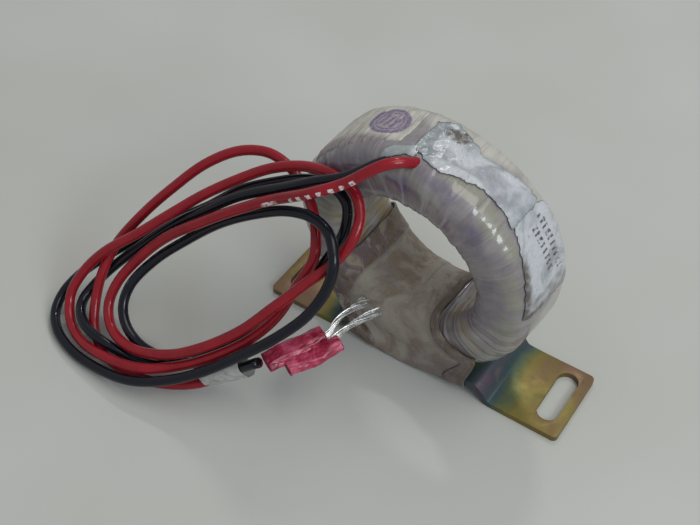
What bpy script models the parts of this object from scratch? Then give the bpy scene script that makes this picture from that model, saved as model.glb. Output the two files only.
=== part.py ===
"""A window-type toroidal current transformer, bound with tape to a strap bracket.

The ring stands on edge in a saddle formed in the middle of a flat steel strap. Its laminated core,
its winding and the two splices are inside a skin of insulating film. Two flexible leads come out of
the top of the skin and hang in a coil beside the ring. Units are metres and +Z is up. The origin is
on the mounting surface, under the middle of the strap.
"""

import math

import bmesh
import bpy
import numpy as np
from mathutils import Euler, Matrix, Vector

MM = 0.001
GAP = 0.3 * MM

# The ring: its centre, its lean towards the front and its small turn on the saddle.
RING_CENTRE = Vector((-2.4, 0.0, 43.5)) * MM
RING_LEAN = math.radians(4.7)
RING_TURN = math.radians(-4.25)
RING_STEPS = 56
INNER_STEPS = 48

# Sections of the ring's layers: outer radius, bore radius, half depth and corner radius.
WRAP_SECTION = (37.6 * MM, 20.7 * MM, 12.6 * MM, 6.2 * MM)
WRAP_INSIDE = (36.6 * MM, 21.7 * MM, 11.6 * MM, 5.2 * MM)
WINDING_SECTION = (36.3 * MM, 22.0 * MM, 11.3 * MM, 4.9 * MM)
WINDING_INSIDE = (33.3 * MM, 25.0 * MM, 8.3 * MM, 0.0)
CORE_SECTION = (32.1 * MM, 26.2 * MM, 7.1 * MM, 0.0)
OUTER_BAND_SECTION = (33.0 * MM, 32.4 * MM, 7.1 * MM, 0.0)
INNER_BAND_SECTION = (25.9 * MM, 25.3 * MM, 7.1 * MM, 0.0)
WASHER_RADII = (33.0 * MM, 25.3 * MM)
WASHER_THICKNESS = 0.6 * MM
WASHER_CENTRE = 7.7 * MM

# The winding leaves this sector of the ring open for the splices, in degrees from +X.
SPLICE_SECTOR = (78.0, 109.0)
SPLICE_RADIUS = 34.9 * MM
SLEEVE_RADIUS = 1.3 * MM
SLEEVE_LENGTH = 9.0 * MM
TILTED_END_GAP = 1.2 * MM
MAGNET_WIRE_RADIUS = 0.45 * MM
MAGNET_WIRE_STRAIGHT = 1.4 * MM
MAGNET_WIRE_RISE = 2.6 * MM
MAGNET_WIRE_BEND_DEGREES = 2.6
MAGNET_WIRE_END_DEGREES = 0.7

# The strap bracket.
STRAP_THICKNESS = 2.0 * MM
STRAP_HALF_LENGTH = 49.04 * MM
STRAP_WIDTH = 26.0 * MM
STRAP_MIDDLE_Y = 3.0 * MM
FOOT_CORNER = 1.5 * MM
TRIM = 1.0 * MM
SADDLE_RADIUS = 41.2 * MM
SADDLE_HALF_SPAN = math.radians(21.0)
CREST_X = 20.6 * MM
CREST_HEIGHT = 5.5 * MM
FOOT_START_X = 26.5 * MM
SLOT_CENTRE_X = 42.85 * MM
SLOT_WIDTH = 6.5 * MM
SLOT_LENGTH = 19.1 * MM
SLOT_MIDDLE_Y = 3.65 * MM
PAD_RADII = (38.5 * MM, 39.9 * MM)
PAD_HALF_SPAN = math.radians(20.0)
SLOPE_ALLOWANCE = 0.08 * MM
CUTTER_HEIGHTS = (-5.0 * MM, 15.0 * MM)

# The tapes.
TAPE_THICKNESS = 0.6 * MM
LABEL_THICKNESS = 0.3 * MM
BORE_ROW_DEPTH = 2.1 * MM

# The leads, exit first, in millimetres. Both are the same wire, 3 mm over its insulation.
LEAD_RADIUS = 1.5 * MM
LEAD_STATIONS = 80
RED_ROUTE = [
    (-2.1, -7.1, 77.9), (-2.8, -9.5, 78.4), (-4.1, -12.2, 79.8), (-6, -14.9, 80.9), (-8.6, -17.4, 80.6),
    (-12, -20, 78.2), (-16.5, -22.5, 74), (-24, -26.5, 69.5), (-37, -26.5, 59.5), (-47, -29, 52),
    (-57, -31.5, 43.5), (-67.5, -35, 34), (-75.5, -39.5, 23.5), (-79.3, -44.5, 16), (-79.3, -49, 11),
    (-75.5, -53.2, 8.6), (-69.5, -56, 8.4), (-62, -57, 9.8), (-51, -55.5, 14.5), (-41.5, -52, 21),
    (-32.5, -46.5, 29), (-26, -41.5, 37.5), (-19.5, -35.5, 46), (-14.5, -28.5, 52), (-12.5, -23.5, 58),
    (-14, -18.7, 62.2), (-18.5, -15.7, 65.4), (-26, -14.8, 66.2), (-35.5, -13.5, 62.7), (-44.5, -15.5, 58.5),
    (-52.5, -19, 53), (-61, -24.5, 46.5), (-69, -30.5, 39), (-77, -36, 31), (-86, -41.5, 22.5),
    (-91, -46, 15), (-92.6, -51, 8.5), (-89, -56, 4.2), (-82, -59.7, 3.4), (-71, -62, 6.1),
    (-58, -61, 9), (-48.5, -56, 11.5), (-39, -51.5, 18), (-31, -46, 25), (-26, -39.5, 32),
    (-23.5, -33.5, 40.5), (-21.5, -28.5, 48.5), (-24.3, -23.5, 53.2), (-28.2, -19.2, 54.5),
    (-32.5, -15.3, 54.4), (-37, -12, 54.7), (-43, -9.4, 55.6), (-50.5, -8.6, 56), (-58.5, -11, 54.2),
    (-66.5, -16, 49), (-74, -23, 40.5),
    (-80.5, -29.5, 31.5), (-85.3, -37, 22.3), (-85.6, -44, 15.6), (-84.3, -49.4, 9.2), (-81, -54.5, 4.2),
    (-74.5, -58.4, 2.2), (-65.5, -60.5, 2.1), (-55, -58.9, 2.4), (-45.5, -55.5, 4.8),
    (-40.5, -53.2, 7.6), (-36.3, -50, 10.8), (-32.4, -48, 14.2), (-26.7, -46.4, 19.2),
]
BLACK_ROUTE = [
    (-8.1, -6.8, 77.2), (-8.8, -8.9, 77.2), (-10.2, -11.8, 77.2), (-12.6, -14.8, 76.5), (-15.4, -17.3, 74.6),
    (-19.7, -19.4, 71.6), (-26.9, -21.8, 68), (-36.5, -22.5, 61.1), (-48.5, -24.5, 53), (-58.5, -27, 44),
    (-70, -30, 33), (-79.5, -35, 22), (-85.2, -40, 15), (-88.3, -44.8, 10.2), (-88.9, -49.8, 7.6),
    (-86.3, -54, 7), (-82, -56.8, 6.9), (-77, -57.8, 6.4), (-71.5, -57.8, 5.6), (-63, -56, 3.2),
    (-52.5, -52, 5), (-44.5, -46, 10.5), (-36, -40, 19.5), (-29, -34.5, 30), (-22.5, -29, 40),
    (-18.5, -25, 49),
    (-17.3, -20.5, 54.8), (-19.6, -16.2, 59.4), (-24, -15, 61.8), (-29, -14.8, 61.6), (-35, -14.2, 58.8),
    (-44, -15.5, 53.6), (-53, -18.5, 48), (-62, -22.5, 39.5), (-73, -26.5, 30.5), (-82, -31.5, 22),
    (-89.5, -38.5, 15.5),
    (-95, -44, 9.5), (-97.5, -49.5, 4.8), (-96, -55.2, 2.3), (-90.5, -60.2, 1.9), (-83, -63.2, 1.9),
    (-75.5, -64.5, 2.5), (-60.5, -64.5, 5.5), (-50, -61, 9), (-39.5, -56, 15.5), (-30, -50.5, 24),
    (-22, -45.5, 32), (-15.5, -39.5, 40.5), (-13, -34.8, 48), (-13.5, -31.3, 54.7), (-18, -27, 58.5),
    (-25, -24.5, 58.5), (-32.5, -24.5, 56.5), (-42.5, -25.5, 50.5), (-53.5, -27.5, 42),
    (-63.5, -31, 32), (-71, -36.5, 24), (-74.8, -43.5, 17.5), (-74.2, -48.3, 13), (-70.6, -51.6, 9.6),
    (-65, -53.2, 7.2), (-59, -53.5, 7.1), (-51.5, -52.7, 9), (-42, -51.5, 12), (-33, -50.5, 16),
    (-25.4, -48.9, 22.6),
]
CHANNEL_POINTS = 5

# The taped ends of the leads, in millimetres.
BARE_END_RADIUS = 0.65 * MM
RED_END_ROUTE = [(-12.4, -31.3, 24.6), (-11.2, -26, 25.2), (-9, -20, 25), (-7, -14.9, 24.4)]
BLACK_END_ROUTE = [(-14.6, -31.4, 25), (-14.2, -26, 26.4), (-13, -20, 26.6), (-11.7, -14.9, 25.4)]
FLAG_OUTLINE = [
    (-25.7, -46.2), (-21.5, -50.6), (-17.2, -48.6), (-15.6, -43.4), (-12.6, -37.2), (-9.4, -32.6),
    (-10.6, -31.8), (-15.9, -31.9), (-18.6, -35.6), (-22.2, -41.4),
]
FLAG_MIDDLE_Z = 23.6 * MM
FLAG_THICKNESS = 4.6 * MM
SLEEVE_TAPE_START = Vector((-37.4, -50.9, 11.7)) * MM
SLEEVE_TAPE_END = Vector((-31.0, -48.8, 16.3)) * MM
SLEEVE_TAPE_ACROSS = Vector((0.0, 0.45, -0.9))
SLEEVE_TAPE_SIZE = (4.3 * MM, 3.3 * MM)
SLEEVE_TAPE_THICKNESS = 0.4 * MM


def clear_scene():
    for obj in list(bpy.data.objects):
        bpy.data.objects.remove(obj, do_unlink=True)


def make_collection(name):
    collection = bpy.data.collections.new(name)
    bpy.context.scene.collection.children.link(collection)
    return collection


def make_material(name, colour, roughness, metallic=0.0):
    material = bpy.data.materials.new(name)
    material.use_nodes = True
    shader = material.node_tree.nodes["Principled BSDF"]
    shader.inputs["Base Color"].default_value = (*colour, 1.0)
    shader.inputs["Roughness"].default_value = roughness
    shader.inputs["Metallic"].default_value = metallic
    material.diffuse_color = (*colour, 1.0)
    return material


def add_object(name, data, material=None, parent=None):
    """Links a new object to the parts, or to the cutters when it has no material."""
    obj = bpy.data.objects.new(name, data)
    obj.parent = parent
    if material is None:
        CUTTERS.objects.link(obj)
        obj.hide_render = True
        obj.display_type = "WIRE"
    else:
        PARTS.objects.link(obj)
        obj.data.materials.append(material)
    return obj


def mesh_of(bm, name, smooth_angle=40.0):
    mesh = bpy.data.meshes.new(name)
    bm.to_mesh(mesh)
    bm.free()
    mesh.shade_smooth()
    mesh.set_sharp_from_angle(angle=math.radians(smooth_angle))
    return mesh


def cut_with(obj, *cutters, operation="DIFFERENCE"):
    for cutter in cutters:
        modifier = obj.modifiers.new(cutter.name, "BOOLEAN")
        modifier.operation = operation
        modifier.object = cutter


def solidify(obj, thickness, even=False):
    modifier = obj.modifiers.new("Solidify", "SOLIDIFY")
    modifier.thickness = thickness
    modifier.offset = 0.0
    modifier.use_even_offset = even


# Ring layers -------------------------------------------------------------------------------------


def ring_section(outer, bore, half_depth, corner, corner_steps=4):
    """Points (radius, depth) of a layer's section, down its outer side and up its bore."""
    if corner == 0.0:
        return [(outer, half_depth), (outer, -half_depth), (bore, -half_depth), (bore, half_depth)]
    centres = [
        (outer - corner, half_depth - corner, 90.0),
        (outer - corner, corner - half_depth, 0.0),
        (bore + corner, corner - half_depth, -90.0),
        (bore + corner, half_depth - corner, -180.0),
    ]
    points = []
    for radius, depth, first_angle in centres:
        for step in range(corner_steps + 1):
            angle = math.radians(first_angle - 90.0 * step / corner_steps)
            points.append((radius + corner * math.cos(angle), depth + corner * math.sin(angle)))
    return points


def turned_ring(name, section, material=None, steps=INNER_STEPS, corner_steps=4, depth=0.0):
    """A closed section turned about the ring's own axis."""
    bm = bmesh.new()
    points = ring_section(*section, corner_steps)
    verts = [bm.verts.new((radius, 0.0, height + depth)) for radius, height in points]
    for first, second in zip(verts, verts[1:] + verts[:1]):
        bm.edges.new((first, second))
    mesh = bpy.data.meshes.new(name)
    bm.to_mesh(mesh)
    bm.free()
    obj = add_object(name, mesh, material, RING_FRAME)
    screw = obj.modifiers.new("Turn", "SCREW")
    screw.axis = "Z"
    screw.angle = math.tau
    screw.steps = steps
    screw.render_steps = steps
    screw.use_merge_vertices = True
    screw.merge_threshold = 0.00001
    screw.use_smooth_shade = True
    return obj


def sector_cutter(name, first_degrees, last_degrees):
    """A wedge about the ring's axis, wide enough to cut a whole layer."""
    reach = 50.0 * MM
    angles = np.radians(np.linspace(first_degrees, last_degrees, 4))
    outline = [(0.0, 0.0)] + [(reach * math.cos(angle), reach * math.sin(angle)) for angle in angles]
    return extruded_outline(name, outline, -20.0 * MM, 20.0 * MM, parent=RING_FRAME)


def extruded_outline(name, outline, bottom, top, material=None, parent=None):
    bm = bmesh.new()
    face = bm.faces.new([bm.verts.new((x, y, bottom)) for x, y in outline])
    face.normal_update()
    extruded = bmesh.ops.extrude_face_region(bm, geom=[face])
    new_verts = [item for item in extruded["geom"] if isinstance(item, bmesh.types.BMVert)]
    bmesh.ops.translate(bm, verts=new_verts, vec=(0.0, 0.0, top - bottom))
    bmesh.ops.recalc_face_normals(bm, faces=bm.faces)
    return add_object(name, mesh_of(bm, name), material, parent)


def build_core(steel, tape):
    turned_ring("core", CORE_SECTION, steel)
    turned_ring("core_band_outer", OUTER_BAND_SECTION, tape)
    turned_ring("core_band_inner", INNER_BAND_SECTION, tape)


def build_core_washers(board):
    outer, bore = WASHER_RADII
    section = (outer, bore, WASHER_THICKNESS / 2, 0.0)
    for name, depth in (("core_washer_front", WASHER_CENTRE), ("core_washer_back", -WASHER_CENTRE)):
        turned_ring(name, section, board, depth=depth)


def build_winding(copper):
    winding = turned_ring("secondary_winding", WINDING_SECTION, copper, corner_steps=3)
    cavity = turned_ring("winding_cavity", WINDING_INSIDE)
    cut_with(winding, cavity, sector_cutter("splice_sector", *SPLICE_SECTOR))


def build_outer_wrap(film, channels):
    wrap = turned_ring("outer_wrap", WRAP_SECTION, film, RING_STEPS)
    cavity = turned_ring("wrap_cavity", WRAP_INSIDE, None, RING_STEPS)
    cut_with(wrap, cavity, *channels)


# Wires -------------------------------------------------------------------------------------------


def smooth_route(points, stations):
    """A centripetal Catmull-Rom curve through the points, read at evenly spaced stations."""
    points = [np.array(point, float) for point in points]
    points = [2 * points[0] - points[1]] + points + [2 * points[-1] - points[-2]]
    curve = []
    for a, b, c, d in zip(points, points[1:], points[2:], points[3:]):
        tb = np.linalg.norm(b - a) ** 0.5
        tc = tb + np.linalg.norm(c - b) ** 0.5
        td = tc + np.linalg.norm(d - c) ** 0.5
        for t in np.linspace(tb, tc, 12, endpoint=False):
            ab = a + (b - a) * t / tb
            bc = b + (c - b) * (t - tb) / (tc - tb)
            cd = c + (d - c) * (t - tc) / (td - tc)
            abc = ab + (bc - ab) * t / tc
            bcd = bc + (cd - bc) * (t - tb) / (td - tb)
            curve.append(abc + (bcd - abc) * (t - tb) / (tc - tb))
    curve.append(points[-2])
    curve = np.array(curve)
    travelled = np.append(0.0, np.cumsum(np.linalg.norm(np.diff(curve, axis=0), axis=1)))
    wanted = np.linspace(0.0, travelled[-1], stations)
    return np.stack([np.interp(wanted, travelled, curve[:, axis]) for axis in range(3)], axis=1)


def tube(name, points, radius, material=None, parent=None, bevel_resolution=2):
    """A round wire along points given in metres."""
    curve = bpy.data.curves.new(name, "CURVE")
    curve.dimensions = "3D"
    curve.bevel_depth = radius
    curve.bevel_resolution = bevel_resolution
    curve.use_fill_caps = True
    spline = curve.splines.new("POLY")
    spline.points.add(len(points) - 1)
    for spline_point, point in zip(spline.points, points):
        spline_point.co = (*point, 1.0)
        spline_point.radius = 1.0
    return add_object(name, curve, material, parent)


def as_mesh(curve_object):
    """Turns a curve object into a mesh object with welded caps, so that it can be a cutter."""
    graph = bpy.context.evaluated_depsgraph_get()
    mesh = bpy.data.meshes.new_from_object(curve_object.evaluated_get(graph))
    bm = bmesh.new()
    bm.from_mesh(mesh)
    bmesh.ops.remove_doubles(bm, verts=bm.verts, dist=0.00001)
    bmesh.ops.recalc_face_normals(bm, faces=bm.faces)
    bm.to_mesh(mesh)
    bm.free()
    name = curve_object.name
    matrix = curve_object.matrix_world.copy()
    bpy.data.objects.remove(curve_object)
    obj = add_object(name, mesh)
    obj.matrix_world = matrix
    return obj


def build_leads(red_jacket, black_jacket):
    red_points = smooth_route(RED_ROUTE, LEAD_STATIONS) * MM
    black_points = smooth_route(BLACK_ROUTE, LEAD_STATIONS) * MM
    tube("red_lead", red_points, LEAD_RADIUS, red_jacket)
    tube("black_lead", black_points, LEAD_RADIUS, black_jacket)
    channels = []
    for name, points in (("red_channel", red_points), ("black_channel", black_points)):
        channels.append(as_mesh(tube(name, points[:CHANNEL_POINTS], LEAD_RADIUS + GAP, bevel_resolution=3)))
    return channels


def build_bare_ends(tinned_copper):
    for name, route in (("red_lead_end", RED_END_ROUTE), ("black_lead_end", BLACK_END_ROUTE)):
        tube(name, smooth_route(route, 8) * MM, BARE_END_RADIUS, tinned_copper)


def around_ring(degrees, radius, depth):
    """A point in the ring's frame, from its angle, its radius and its depth towards the front."""
    angle = math.radians(degrees)
    return Vector((radius * math.cos(angle), radius * math.sin(angle), depth))


def build_splices(red_sleeving, black_sleeving, enamel):
    """Each sleeve lies across the ring behind its lead, with a magnet wire at its back end."""
    ring_from_world = RING_MATRIX.inverted()
    winding_faces = (SPLICE_SECTOR[0], SPLICE_SECTOR[1])
    leads = (
        ("splice_sleeve_red", "winding_start_wire", RED_ROUTE, red_sleeving, winding_faces[0], 1.0),
        ("splice_sleeve_black", "winding_finish_wire", BLACK_ROUTE, black_sleeving, winding_faces[1], -1.0),
    )
    for sleeve_name, wire_name, route, sleeving, face, side in leads:
        lead_end = ring_from_world @ (Vector(route[0]) * MM)
        front = Vector((lead_end.x, lead_end.y, lead_end.z - TILTED_END_GAP))
        back = front - Vector((0.0, 0.0, SLEEVE_LENGTH))
        tube(sleeve_name, [front, back], SLEEVE_RADIUS, sleeving, RING_FRAME, bevel_resolution=3)
        bend = face + side * MAGNET_WIRE_BEND_DEGREES
        end = face + side * MAGNET_WIRE_END_DEGREES
        wire_points = [
            back - Vector((0.0, 0.0, GAP)),
            back - Vector((0.0, 0.0, MAGNET_WIRE_STRAIGHT)),
            around_ring(bend, SPLICE_RADIUS, back.z - MAGNET_WIRE_RISE),
            around_ring(end, SPLICE_RADIUS, back.z - MAGNET_WIRE_RISE - GAP),
        ]
        tube(wire_name, wire_points, MAGNET_WIRE_RADIUS, enamel, RING_FRAME, bevel_resolution=1)


# Tapes on the ring -------------------------------------------------------------------------------


def on_wrap(degrees, around, height):
    """A point above the wrap. The distance around its section is 0 at the rim and grows to the front."""
    outer, _, half_depth, corner = WRAP_SECTION
    flat = half_depth - corner
    side = math.copysign(1.0, around)
    beyond = max(0.0, abs(around) - flat)
    bend = min(beyond / corner, math.pi / 2)
    down_face = max(0.0, beyond - corner * math.pi / 2)
    radius = outer - corner + (corner + height) * math.cos(bend) - down_face
    depth = side * (min(abs(around), flat) + (corner + height) * math.sin(bend))
    return around_ring(degrees, radius, depth)


def between(table, position):
    """Reads a list of (position, value) pairs, sorted by position."""
    return float(np.interp(position, [row[0] for row in table], [row[1] for row in table]))


def patch(name, material, back_edge, front_edge, columns=10, rows=6, thickness=LABEL_THICKNESS):
    """A piece of tape on the wrap between two edges, each a list of (degrees, distance around in mm)."""
    first, last = back_edge[0][0], back_edge[-1][0]
    bm = bmesh.new()
    grid = []
    for degrees in np.linspace(first, last, columns + 1):
        back = between(back_edge, degrees) * MM
        front = between(front_edge, degrees) * MM
        around = np.linspace(back, front, rows + 1)
        grid.append([bm.verts.new(on_wrap(degrees, value, GAP + thickness / 2)) for value in around])
    for left, right in zip(grid, grid[1:]):
        for corners in zip(left, left[1:], right[1:], right):
            bm.faces.new(corners)
    obj = add_object(name, mesh_of(bm, name), material, RING_FRAME)
    solidify(obj, thickness)
    return obj


def build_rim_tapes(cloth, paper, film):
    patch("rim_tape", cloth, [(104, -9.5), (120, -10.5), (147, -9)], [(104, 5), (112, 7.5), (147, 10.5)])
    patch("exit_patch", film, [(95.5, 0.5), (102.5, 1)], [(95.5, 7), (102.5, 6.8)], 3, 3)
    patch(
        "label_tape_upper",
        paper,
        [(46, -7.6), (63, -6), (78, -6.5), (94, -8)],
        [(46, 4.4), (63, 3.4), (81, 7.9), (94, 4.8)],
        12,
    )
    patch("label_tape_lower", paper, [(6, -9), (44.5, -10.5)], [(6, 10.5), (25, 8), (44.5, 4.4)])


# Bracket and binding -----------------------------------------------------------------------------


def saddle_height(x, radius):
    """Height of a saddle arc of this radius at x."""
    return RING_CENTRE.z - math.sqrt(radius**2 - (x - RING_CENTRE.x) ** 2)


def strap_centreline():
    """Points (x, z) along the middle of the strap's thickness, from foot to foot."""
    flat = STRAP_THICKNESS / 2
    span = SADDLE_RADIUS * math.sin(SADDLE_HALF_SPAN)
    saddle = [
        (x, saddle_height(x, SADDLE_RADIUS))
        for x in np.linspace(RING_CENTRE.x - span, RING_CENTRE.x + span, 17)
    ]
    left_crest = [
        (-STRAP_HALF_LENGTH - TRIM, flat),
        (-FOOT_START_X - 1.2 * MM, flat),
        (-FOOT_START_X, flat + 0.3 * MM),
        (-CREST_X - 3.6 * MM, CREST_HEIGHT - 1.6 * MM),
        (-CREST_X - 2.0 * MM, CREST_HEIGHT - 0.3 * MM),
        (-CREST_X, CREST_HEIGHT),
    ]
    right_crest = [(-x, z) for x, z in reversed(left_crest)]
    right_crest = [(CREST_X - 2.2 * MM, CREST_HEIGHT - 0.3 * MM)] + right_crest
    return left_crest + saddle + right_crest


def ribbon(name, outline, front_y, back_y, material=None):
    """An open strip: an outline in the XZ plane drawn out along Y."""
    bm = bmesh.new()
    rows = [(bm.verts.new((x, front_y, z)), bm.verts.new((x, back_y, z))) for x, z in outline]
    for (a, b), (c, d) in zip(rows, rows[1:]):
        bm.faces.new((a, c, d, b))
    return add_object(name, mesh_of(bm, name), material)


def rounded_outline(width, length, corner, steps=3):
    """A rectangle with round corners, centred on the origin."""
    points = []
    for quarter, (sx, sy) in enumerate(((1, 1), (-1, 1), (-1, -1), (1, -1))):
        for step in range(steps + 1):
            angle = math.radians(90.0 * (quarter + step / steps))
            x = sx * (width / 2 - corner) + corner * math.cos(angle)
            y = sy * (length / 2 - corner) + corner * math.sin(angle)
            points.append((x, y))
    return points


def build_bracket(zinc):
    front = STRAP_MIDDLE_Y - STRAP_WIDTH / 2 - TRIM
    back = STRAP_MIDDLE_Y + STRAP_WIDTH / 2 + TRIM
    bracket = ribbon("mounting_bracket", strap_centreline(), front, back, zinc)
    solidify(bracket, STRAP_THICKNESS, even=True)
    plan = rounded_outline(2 * STRAP_HALF_LENGTH, STRAP_WIDTH, FOOT_CORNER)
    plan_block = extruded_outline("foot_corners", plan, *CUTTER_HEIGHTS)
    plan_block.location.y = STRAP_MIDDLE_Y
    cut_with(bracket, plan_block, operation="INTERSECT")
    for side, name in ((-1, "slot_left"), (1, "slot_right")):
        slot = rounded_outline(SLOT_WIDTH, SLOT_LENGTH, SLOT_WIDTH / 2 - 0.01 * MM, 5)
        cutter = extruded_outline(name, slot, *CUTTER_HEIGHTS)
        cutter.location = (side * SLOT_CENTRE_X, SLOT_MIDDLE_Y, 0.0)
        cut_with(bracket, cutter)


def build_saddle_pad(fishpaper):
    inner, outer = PAD_RADII
    middle = (inner + outer) / 2
    angles = np.linspace(-PAD_HALF_SPAN, PAD_HALF_SPAN, 13)
    outline = [
        (RING_CENTRE.x + middle * math.sin(angle), RING_CENTRE.z - middle * math.cos(angle))
        for angle in angles
    ]
    margin = 0.4 * MM
    front = STRAP_MIDDLE_Y - STRAP_WIDTH / 2 + margin
    pad = ribbon("saddle_pad", outline, front, front + STRAP_WIDTH - 2 * margin, fishpaper)
    solidify(pad, outer - inner, even=True)


def strap_underside(x):
    """Height of the strap's underside at x, between the feet. A sloping strap reaches a little lower."""
    points = strap_centreline()
    middle = float(np.interp(x, [point[0] for point in points], [point[1] for point in points]))
    return middle - STRAP_THICKNESS / 2 - SLOPE_ALLOWANCE


def binding_loop(bore_degrees, rim_degrees, bottom_x):
    """One turn of tape: through the bore, down the front, under the strap and up the back."""
    outer, bore, half_depth, corner = WRAP_SECTION
    clear = GAP + TAPE_THICKNESS / 2
    bend = corner + clear
    flat = half_depth - corner
    front_half = [(bore - clear, BORE_ROW_DEPTH), (bore - clear, flat)]
    for degrees in (30, 60, 90):
        angle = math.radians(degrees)
        front_half.append((bore + corner - bend * math.cos(angle), flat + bend * math.sin(angle)))
    for degrees in (0, 20):
        angle = math.radians(degrees)
        front_half.append((outer - corner + bend * math.sin(angle), flat + bend * math.cos(angle)))
    first_radius, last_radius = front_half[0][0], front_half[-1][0]

    def ring_point(radius, depth):
        share = (radius - first_radius) / (last_radius - first_radius)
        degrees = bore_degrees + (rim_degrees - bore_degrees) * share
        return RING_MATRIX @ around_ring(degrees, radius, depth)

    front = [ring_point(radius, depth) for radius, depth in front_half]
    back = [ring_point(radius, -depth) for radius, depth in front_half]
    bottom_z = strap_underside(bottom_x) - clear
    front_y = STRAP_MIDDLE_Y - STRAP_WIDTH / 2 - clear
    back_y = STRAP_MIDDLE_Y + STRAP_WIDTH / 2 + clear
    bottom = [
        Vector((bottom_x, front_y, bottom_z + STRAP_THICKNESS + clear)),
        Vector((bottom_x, front_y, bottom_z + 0.5 * MM)),
        Vector((bottom_x, front_y + 0.5 * MM, bottom_z)),
        Vector((bottom_x, STRAP_MIDDLE_Y, bottom_z)),
        Vector((bottom_x, back_y - 0.5 * MM, bottom_z)),
        Vector((bottom_x, back_y, bottom_z + 0.5 * MM)),
        Vector((bottom_x, back_y, bottom_z + STRAP_THICKNESS + clear)),
    ]
    return front + bottom + back[::-1]


def binding(name, material, first, last, turns):
    """A band of tape between two turns, each given as its bore angle, rim angle and bottom x."""
    bm = bmesh.new()
    loops = []
    for share in np.linspace(0.0, 1.0, turns):
        bore_degrees, rim_degrees, bottom_x = (a + (b - a) * share for a, b in zip(first, last))
        points = binding_loop(bore_degrees, rim_degrees, bottom_x * MM)
        loops.append([bm.verts.new(point) for point in points])
    for left, right in zip(loops, loops[1:]):
        for corners in zip(left, left[1:] + left[:1], right[1:] + right[:1], right):
            bm.faces.new(corners)
    obj = add_object(name, mesh_of(bm, name), material)
    solidify(obj, TAPE_THICKNESS)
    return obj


def build_bindings(cotton, stained_cotton):
    binding("binding_tape", cotton, (-154, -147, -19.5), (-67, -52, 12.5), 13)
    binding("binding_tape_under", stained_cotton, (-65.5, -51, 13.2), (-60, -42, 19.2), 4)


# Taped lead ends ---------------------------------------------------------------------------------


def build_tape_flag(pink_tape):
    outline = [(x * MM, y * MM) for x, y in FLAG_OUTLINE]
    bottom = FLAG_MIDDLE_Z - FLAG_THICKNESS / 2
    extruded_outline("tape_flag", outline, bottom, bottom + FLAG_THICKNESS, pink_tape)


def build_clear_tape(clear_tape):
    """An oval sleeve of tape around both leads."""
    bm = bmesh.new()
    half_wide, half_high = SLEEVE_TAPE_SIZE
    length = (SLEEVE_TAPE_END - SLEEVE_TAPE_START).length
    ends = []
    for height in (0.0, length / 2, length):
        outline = rounded_outline(2 * half_wide, 2 * half_high, half_high - 0.01 * MM, 3)
        ends.append([bm.verts.new((x, y, height)) for x, y in outline])
    for low, high in zip(ends, ends[1:]):
        for corners in zip(low, low[1:] + low[:1], high[1:] + high[:1], high):
            bm.faces.new(corners)
    obj = add_object("clear_tape_wrap", mesh_of(bm, "clear_tape_wrap"), clear_tape)
    along = (SLEEVE_TAPE_END - SLEEVE_TAPE_START).normalized()
    across = (SLEEVE_TAPE_ACROSS - along * SLEEVE_TAPE_ACROSS.dot(along)).normalized()
    third = along.cross(across)
    rotation = Matrix((across, third, along)).transposed().to_4x4()
    obj.matrix_world = Matrix.Translation(SLEEVE_TAPE_START) @ rotation
    solidify(obj, SLEEVE_TAPE_THICKNESS, even=True)


clear_scene()
PARTS = make_collection("current_transformer")
CUTTERS = make_collection("cutters")
RING_ROTATION = Euler((math.pi / 2 + RING_LEAN, 0.0, RING_TURN))
RING_MATRIX = Matrix.Translation(RING_CENTRE) @ RING_ROTATION.to_matrix().to_4x4()
RING_FRAME = bpy.data.objects.new("ring_frame", None)
RING_FRAME.matrix_world = RING_MATRIX
PARTS.objects.link(RING_FRAME)

lead_channels = build_leads(
    make_material("red_pvc", (0.36, 0.02, 0.02), 0.35),
    make_material("black_pvc", (0.02, 0.02, 0.03), 0.35),
)
build_core(
    make_material("silicon_steel", (0.30, 0.31, 0.33), 0.4, 1.0),
    make_material("core_tape", (0.62, 0.52, 0.34), 0.7),
)
build_core_washers(make_material("pressboard", (0.45, 0.33, 0.20), 0.8))
build_winding(make_material("enamelled_copper", (0.55, 0.22, 0.08), 0.35, 1.0))
build_outer_wrap(make_material("varnished_film", (0.30, 0.27, 0.29), 0.3), lead_channels)
build_splices(
    make_material("red_sleeving", (0.40, 0.05, 0.04), 0.5),
    make_material("black_sleeving", (0.04, 0.04, 0.04), 0.5),
    make_material("magnet_wire", (0.50, 0.18, 0.07), 0.35, 1.0),
)
build_rim_tapes(
    make_material("cream_cloth_tape", (0.55, 0.51, 0.41), 0.75),
    make_material("white_paper_tape", (0.62, 0.63, 0.62), 0.6),
    make_material("grey_green_film", (0.38, 0.43, 0.41), 0.4),
)
build_bracket(make_material("yellow_chromated_zinc", (0.50, 0.45, 0.22), 0.35, 1.0))
build_saddle_pad(make_material("fishpaper", (0.33, 0.27, 0.18), 0.8))
build_bindings(
    make_material("cotton_tape", (0.36, 0.32, 0.27), 0.85),
    make_material("stained_cotton_tape", (0.30, 0.22, 0.13), 0.85),
)
build_tape_flag(make_material("pink_vinyl_tape", (0.60, 0.10, 0.16), 0.4))
build_clear_tape(make_material("clear_tape", (0.60, 0.60, 0.58), 0.2))
build_bare_ends(make_material("tinned_copper", (0.62, 0.61, 0.58), 0.25, 1.0))
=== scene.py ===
"""The looks of a taped window-type current transformer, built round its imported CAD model."""

import math

import bmesh
import bpy
import numpy as np
from mathutils import Euler, Matrix, Vector, noise


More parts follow.
